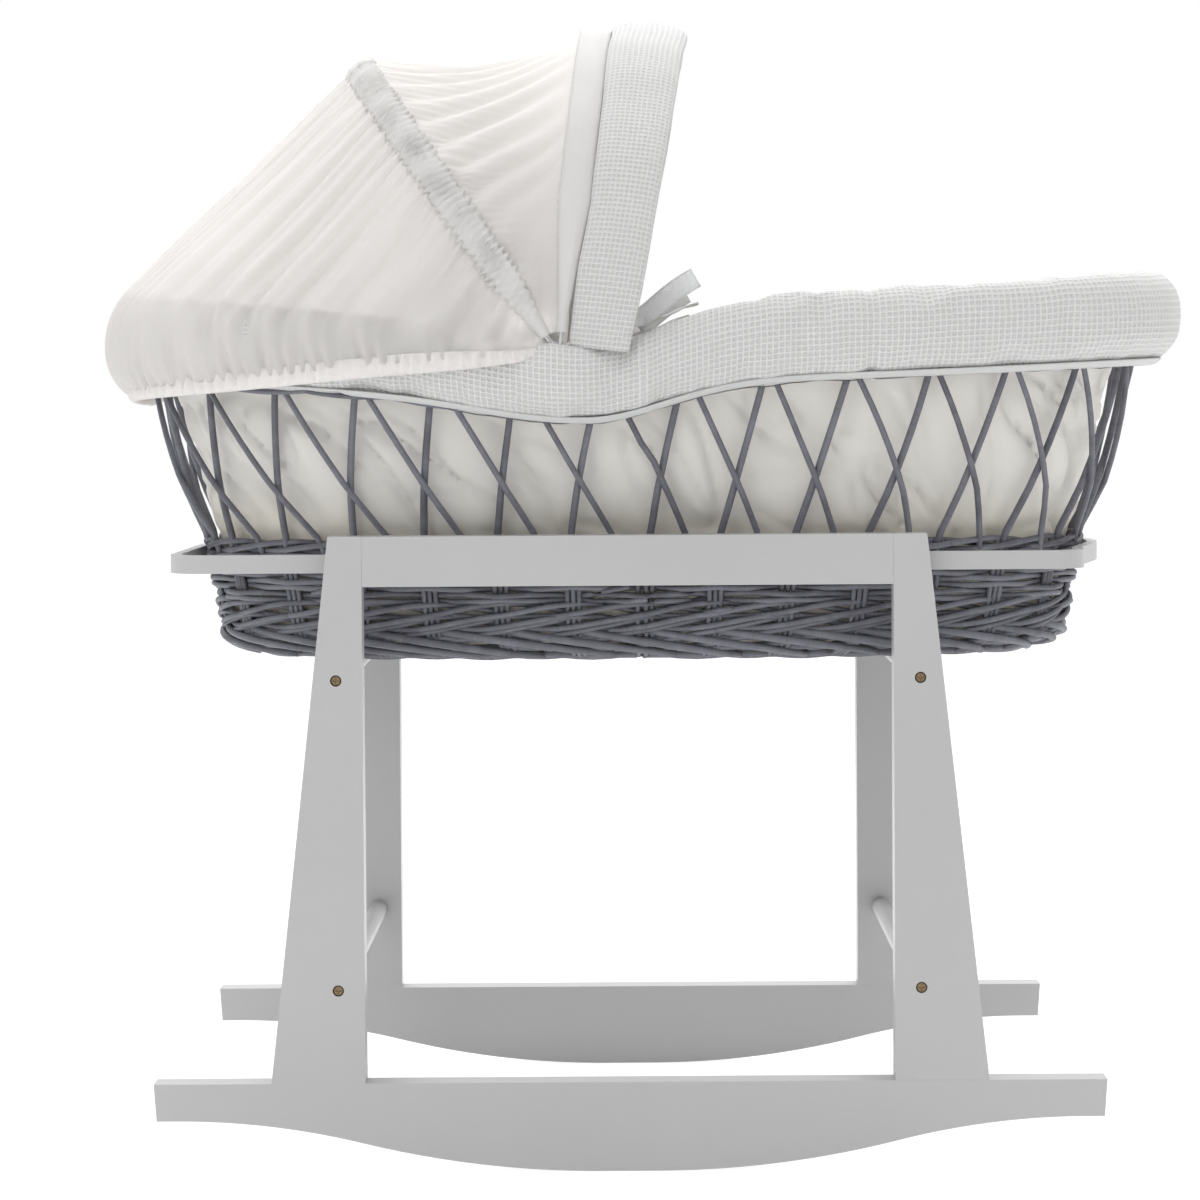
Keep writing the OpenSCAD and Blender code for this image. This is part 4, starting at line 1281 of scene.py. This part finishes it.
class BASSINET_OT_hood_cloth(bpy.types.Operator):
    """Gathers the two panels of thin cloth between the hoops and round the rim"""

    bl_idname = "bassinet.hood_cloth"
    bl_label = "Hood panels"
    knee_share = 0.55

    def rear(self):
        def smooth_place(u, v):
            c = 1 - 2 * u
            q = 1 - abs(c)
            t = hem_angle(c)
            s = MID.station(u, PANEL_START)
            start = MID.near(s, 0.0, -(MID.channel(s) - UNDER))
            knee = beside_rim(t, *knee_offset(q))
            if v < self.knee_share:
                share = v / self.knee_share
                depth = 0.005 * math.sin(math.pi * share) ** 2
                return hollowed(start.lerp(knee, share), depth * smoothstep(0.0, 0.25, q) * (1 - q))
            turn = knee + (knee - start).normalized() * lerp(0.006, 0.037, q)
            side = beside_rim(t, lerp(0.034, 0.040, q), lerp(0.021, -0.034, q))
            share = (v - self.knee_share) / (1 - self.knee_share)
            return bend([knee, turn, side, beside_rim(t, *hem_offset(q))], 0.96 * share)

        def place(u, v):
            edge = smoothstep(0.0, 0.10, min(u, 1 - u))
            top = 0.0036 * math.exp(-v / 0.16) * gathers(u, 0, 1)
            low = 0.0062 * math.exp(-(1 - v) / 0.11) * gathers(u * 0.8, 1, 5)
            broad = 0.0062 * soft_folds(u, v, 2) * math.sin(math.pi * min(1, v * 0.9 + 0.06))
            fine = 0.0024 * soft_folds(u, v, 9, 61) * (1 - abs(2 * v - 1) * 0.4)
            return raised(smooth_place, u, v, (top + low + broad + fine) * (0.25 + 0.75 * edge))

        bm = bmesh.new()
        net(bm, 460, 84, place, (0.84, 0.40))
        area = sum(f.calc_area() for f in bm.faces)
        obj = piece("hood_rear_panel", bm, ["muslin"], None)
        thicken(obj, 0.0009)
        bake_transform(obj)
        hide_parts("rear_canopy")
        round(min(0.4284, max(0.13, area * 1.05)), 3)

    def front(self):
        def smooth_place(u, v):
            mid_s, front_s = MID.station(u, PANEL_START), FRONT.station(u, PANEL_START)
            a = MID.near(mid_s, 0.0, MID.channel(mid_s) - UNDER)
            b = FRONT.near(front_s, 0.0, -(FRONT.channel(front_s) - UNDER))
            return hollowed(a.lerp(b, v), 0.017 * 4 * v * (1 - v) * math.sin(math.pi * u))

        def place(u, v):
            side = min(u, 1 - u)
            edge = smoothstep(0.0, 0.12, side)
            top = 0.0034 * math.exp(-v / 0.24) * gathers(u, 0, 21)
            slant = u + 0.075 * (0.5 - v) * (1 if u < 0.5 else -1) * smoothstep(0.02, 0.2, side)
            broad = 0.0064 * soft_folds(slant, v, 12, 24) * math.sin(math.pi * min(1, 0.15 + v * 0.85))
            return raised(smooth_place, u, v, (top + broad) * (0.15 + 0.85 * edge))

        bm = bmesh.new()
        net(bm, 420, 48, place, (0.84, 0.20))
        area = sum(f.calc_area() for f in bm.faces)
        obj = piece("hood_front_panel", bm, ["muslin"], None)
        thicken(obj, 0.0009)
        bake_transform(obj)
        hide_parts("front_canopy")
        round(min(0.2058, max(0.07, area * 1.05)), 3)

    def execute(self, context):
        self.rear()
        self.front()
        return {"FINISHED"}


class BASSINET_OT_hood_channels(bpy.types.Operator):
    """Sews the gathered channel of the middle hoop and the plain one of the front hoop"""

    bl_idname = "bassinet.hood_channels"
    bl_label = "Hoop channels"

    def sleeve(self, name, bow, node, body, ruffle, finish):
        """ruffle is the height of the gathers; the middle sleeve also widens sooner."""
        least = 0.0042

        def place(u, v):
            s = bow.station(v, SLEEVE_START)
            near = min(s, bow.length - s) - SLEEVE_START
            w = max(least, bow.channel(s) + 0.0005)
            if bow is MID:
                w = max(w, min(CHANNEL_HALF, least + 0.14 * near))
            a = TAU * u
            side = math.cos(a)
            up = math.sin(a)
            full = ruffle * gathers(v * 1.15, side * 0.6, 31) * smoothstep(0, 0.05, near)
            stitch = 1 - 0.35 * math.exp(-(((abs(side) - 0.72) / 0.10) ** 2))
            lift = signed_power(up, 0.85) * (0.0038 * stitch + full * 0.9)
            fringe = ruffle * 1.1 * gathers(v * 1.1, 3, 12) * abs(side) ** 4 * smoothstep(0, 0.05, near)
            return bow.near(s, lift, signed_power(side, 0.9) * (w + fringe))

        bm = bmesh.new()
        gathered = ruffle > 0.001
        steps = 560 if gathered else 300
        net(bm, 18, steps, place, (0.055, bow.length), wrap=True)
        obj = piece(name, bm, [finish], body)
        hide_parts(node)

    def execute(self, context):
        self.sleeve("mid_channel_sleeve", MID, "mid_channel", "mid_bow", 0.0052, "channel")
        self.sleeve("front_channel_sleeve", FRONT, "front_channel", "front_bow", 0.0006, "band")
        return {"FINISHED"}


class BASSINET_OT_hood_hem(bpy.types.Operator):
    """Gathers the elastic hem of the hood round the head end"""

    bl_idname = "bassinet.hood_hem"
    bl_label = "Hood hem"

    def execute(self, context):
        steps = 620
        path = []
        for i in range(steps + 1):
            c = 1 - 2 * i / steps
            path.append(beside_rim(hem_angle(c), *hem_offset(1 - abs(c))))
        length = sum((a - b).length for a, b in zip(path, path[1:]))

        def place(u, v):
            k = min(steps, round(v * steps))
            along = (path[min(k + 1, steps)] - path[max(k - 1, 0)]).normalized()
            side = along.cross(UP).normalized()
            up = side.cross(along)
            a = TAU * u
            bulge = gathers(v * 0.9, math.cos(a) * 0.3, 41)
            ends = smoothstep(0, 0.02, min(v, 1 - v))
            r = 0.0030 + 0.0048 * bulge * ends
            pinch = 0.0012 * math.exp(-((math.sin(a) - 0.45) / 0.22) ** 2)
            tall = lerp(0.0045, 0.0078, smoothstep(0, 0.1, min(v, 1 - v)))
            rise = signed_power(math.sin(a), 0.8) * tall
            return path[k] + side * (math.cos(a) * (r - pinch)) + up * rise

        bm = bmesh.new()
        net(bm, 12, steps, place, (0.024, length), wrap=True)
        obj = piece("hood_hem_gather", bm, ["muslin"], None)
        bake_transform(obj)
        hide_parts("hood_hem")
        return {"FINISHED"}


class BASSINET_OT_hood_trim(bpy.types.Operator):
    """Quilts the waffle cloth band along the hood's front edge"""

    bl_idname = "bassinet.hood_trim"
    bl_label = "Hood trim"

    section = 40

    def execute(self, context):
        def place(u, v):
            s = FRONT.station(v, TRIM_START)
            near = min(s, FRONT.length - s)
            up = FRONT.at(s)[0].y / FRONT.reach
            back = max(0.007, FRONT.channel(s)) + 0.0005
            edge = lerp(0.052, 0.0726, up)
            middle, half = (back + edge) / 2, (edge - back) / 2
            a = TAU * u
            puff = 0.0030 + 0.0056 * smoothstep(0, 0.06, near - TRIM_START)
            puff += 0.0016 * noise.noise(Vector((s * 26, 3, 1)))
            side = signed_power(math.cos(a), 0.72)
            lift = signed_power(math.sin(a), 0.85) * puff
            slack = 0.0022 * noise.noise(Vector((s * 16, side * 0.5, 6)))
            off = middle + side * half + 0.0022 * noise.noise(Vector((s * 12, 9, side * 0.3)))
            return FRONT.near(s, lift + slack + 0.0016 * up, off)

        section = running_length([place(k / self.section, 0.5) for k in range(self.section + 1)])
        bm = bmesh.new()
        net(bm, self.section, 260, place,
            lambda u, v: (section[round(u * self.section)], FRONT.length * 1.1 * v),
            wrap=True, end_material=0)
        obj = piece("hood_trim_band", bm, ["waffle"], "front_bow")
        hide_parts("hood_trim")
        return {"FINISHED"}


# ---------- Ribbon ties ----------


class BASSINET_OT_ties(bpy.types.Operator):
    """Lays the ribbon ties over the padded rim"""

    bl_idname = "bassinet.ties"
    bl_label = "Ribbon ties"
    width = 0.016
    wrap_width = 0.010
    steps = 14

    def above_roll(self, x, lift):
        return BASE_Z + rim_level_at(x) + sizes().roll_half + lift

    def strip(self, bm, points, across, width):
        last = self.steps
        path = [bend([Vector(p) for p in points], k / last) for k in range(last + 1)]

        def place(u, v):
            k = round(v * last)
            along = (path[min(k + 1, last)] - path[max(k - 1, 0)]).normalized()
            wide = (across - along * across.dot(along)).normalized()
            normal = along.cross(wide)
            cup = 0.0012 * math.cos(math.pi * (u - 0.5)) * math.sin(math.pi * v)
            twist = 0.0010 * math.sin(9 * v + 2 * u)
            return path[k] + wide * ((u - 0.5) * width) + normal * (cup + twist)

        net(bm, 6, last, place, (width, 0.06))

    def tie(self, name, node, side):
        y0 = side * (RIM_HALF.y - 0.006)
        bm = bmesh.new()
        rise = [(-0.006, 0.004), (0.006, 0.009), (0.022, 0.020), (0.040, 0.0245)]
        self.strip(bm, [(x, y0 + side * x / 20, self.above_roll(x, z)) for x, z in rise],
                   Vector((-0.8, -0.2 * side, 1)), self.width)
        self.strip(bm, [(x, y0 - side * 0.012, self.above_roll(x, 0.003 + 0.002 * (x > 0.03)))
                        for x in (-0.004, 0.012, 0.028, 0.042)], Vector((0, 1, 0)), self.width)
        wrap = [(-0.004, 0.012, 0.000), (-0.006, 0.004, 0.011),
                (-0.004, -0.008, 0.011), (-0.002, -0.018, 0.001)]
        self.strip(bm, [(x, y0 + side * y, self.above_roll(0, z)) for x, y, z in wrap],
                   Vector((1, 0, 0)), self.wrap_width)
        area = sum(f.calc_area() for f in bm.faces)
        obj = piece(name, bm, ["ribbon"], "basket")
        thicken(obj, 0.0006)
        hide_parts(node)
        round(area / self.width, 3)

    def execute(self, context):
        self.tie("near_ribbon_tie", "near_tie", -1)
        self.tie("far_ribbon_tie", "far_tie", 1)
        return {"FINISHED"}


# ---------- Stage ----------


class BASSINET_OT_stage(bpy.types.Operator):
    """Sets up the floor, the soft light and the camera"""

    bl_idname = "bassinet.stage"
    bl_label = "Stage"

    def light(self, name, place, aim, size, energy):
        data = bpy.data.lights.new(name, "AREA")
        data.shape = "RECTANGLE"
        data.size, data.size_y = size
        data.energy = energy
        obj = bpy.data.objects.new(name, data)
        obj.location = place
        obj.rotation_euler = (Vector(aim) - Vector(place)).to_track_quat("-Z", "Y").to_euler()
        bpy.context.scene.collection.objects.link(obj)

    def floor(self):
        bm = bmesh.new()
        bmesh.ops.create_grid(bm, x_segments=1, y_segments=1, size=9)
        bmesh.ops.translate(bm, verts=bm.verts, vec=(0, 2, -0.0005))
        mesh = bpy.data.meshes.new("floor")
        bm.to_mesh(mesh)
        bm.free()
        f = Finish("pale_floor", roughness=0.8, specular_ior_level=0.1, emission_strength=0.30)
        f.set(base_color=(0.86, 0.86, 0.86), emission_color=(1, 1, 1))
        seen = f.node("ShaderNodeLightPath", output="Is Camera Ray")
        f.lay_over(seen * 0.72, f.node("ShaderNodeEmission", values={"Strength": 1.15}))
        mesh.materials.append(f.material)
        obj = bpy.data.objects.new("floor", mesh)
        bpy.context.scene.collection.objects.link(obj)

    def world(self):
        """A soft light, stronger from behind, which the camera sees as plain white."""
        world = bpy.data.worlds.new("soft_light")
        world.use_nodes = True
        w = Nodes(world.node_tree)
        way = w.node("ShaderNodeTexCoord", output="Generated")
        strength = w.node(
            "ShaderNodeMapRange", {"interpolation_type": "SMOOTHSTEP"},
            {"Value": w.node("ShaderNodeSeparateXYZ", values={0: way}, output=1),
             "From Min": -0.55, "From Max": 0.75, "To Min": 0.64, "To Max": 1.0})
        seen = w.node("ShaderNodeLightPath", output="Is Camera Ray")
        back = w.node("ShaderNodeBackground", values={
            "Color": (1, 1, 1), "Strength": strength.math("MAXIMUM", seen)})
        w.put(w.tree.nodes.new("ShaderNodeOutputWorld").inputs[0], back)
        bpy.context.scene.world = world

    def camera(self):
        pitch, roll = math.radians(1.6), math.radians(-0.35)
        data = bpy.data.cameras.new("camera")
        data.sensor_width = 36
        data.lens = 101.7
        data.shift_x = -0.0225
        data.shift_y = -0.1667 + math.tan(pitch) * data.lens / data.sensor_width
        obj = bpy.data.objects.new("camera", data)
        obj.location = (-0.013, -2.765, 0.582)
        look = Matrix.Rotation(math.radians(90) - pitch, 4, "X")
        obj.rotation_euler = (look @ Matrix.Rotation(roll, 4, "Z")).to_euler()
        bpy.context.scene.collection.objects.link(obj)
        bpy.context.scene.camera = obj

    def execute(self, context):
        self.floor()
        self.world()
        self.camera()
        self.light("back_light", (0.0, 1.9, 2.3), aim=(0, 0, 0.6), size=(3.4, 2.2), energy=70)
        self.light("top_light", (0.0, -0.3, 3.0), aim=(0, 0, 0.4), size=(3.0, 3.0), energy=44)
        self.light("front_fill", (-1.6, -3.2, 1.8), aim=(0, 0, 0.5), size=(2.2, 2.2), energy=17)
        bpy.context.scene.view_settings.view_transform = "Standard"
        return {"FINISHED"}


# ---------- Add-on ----------

OPERATORS = [
    BASSINET_OT_stage,
    BASSINET_OT_stand,
    BASSINET_OT_metalwork,
    BASSINET_OT_woven_base,
    BASSINET_OT_woven_band,
    BASSINET_OT_lattice,
    BASSINET_OT_rim_hoop,
    BASSINET_OT_padded_rim,
    BASSINET_OT_liner,
    BASSINET_OT_mattress,
    BASSINET_OT_hood_cloth,
    BASSINET_OT_hood_channels,
    BASSINET_OT_hood_hem,
    BASSINET_OT_hood_trim,
    BASSINET_OT_ties,
]


class BASSINET_PT_panel(bpy.types.Panel):
    """Lists the pieces and their sizes"""

    bl_label = "Bassinet on stand"
    bl_idname = "BASSINET_PT_panel"
    bl_space_type = "VIEW_3D"
    bl_region_type = "UI"
    bl_category = "Bassinet"

    def draw(self, context):
        for name in BassinetSizes.__annotations__:
            self.layout.prop(context.scene.bassinet, name)
        for operator in OPERATORS:
            self.layout.operator(operator.bl_idname)


CLASSES = [BassinetSizes, *OPERATORS, BASSINET_PT_panel]


def register():
    for cls in CLASSES:
        bpy.utils.register_class(cls)
    bpy.types.Scene.bassinet = PointerProperty(type=BassinetSizes)


def unregister():
    del bpy.types.Scene.bassinet
    for cls in reversed(CLASSES):
        bpy.utils.unregister_class(cls)


def arc_place(x, side):
    """Distance round the rim to the place at length x on the front (-1) or rear (1) side."""
    steps = Around.samples

    def gap(i):
        t = TAU * i / steps
        return (rim_point(t).x - x) ** 2 + (0 if oval(t)[1] * side > 0 else 1)

    return Hold.around.total[min(range(steps), key=gap)]


def main():
    register()
    Hold.around = Around()
    Hold.seams = [arc_place(SEAM_X, side) for side in (-1, 1)]
    for operator in OPERATORS:
        group, name = operator.bl_idname.split(".")
        getattr(getattr(bpy.ops, group), name)()


if __name__ == "__main__":
    main()
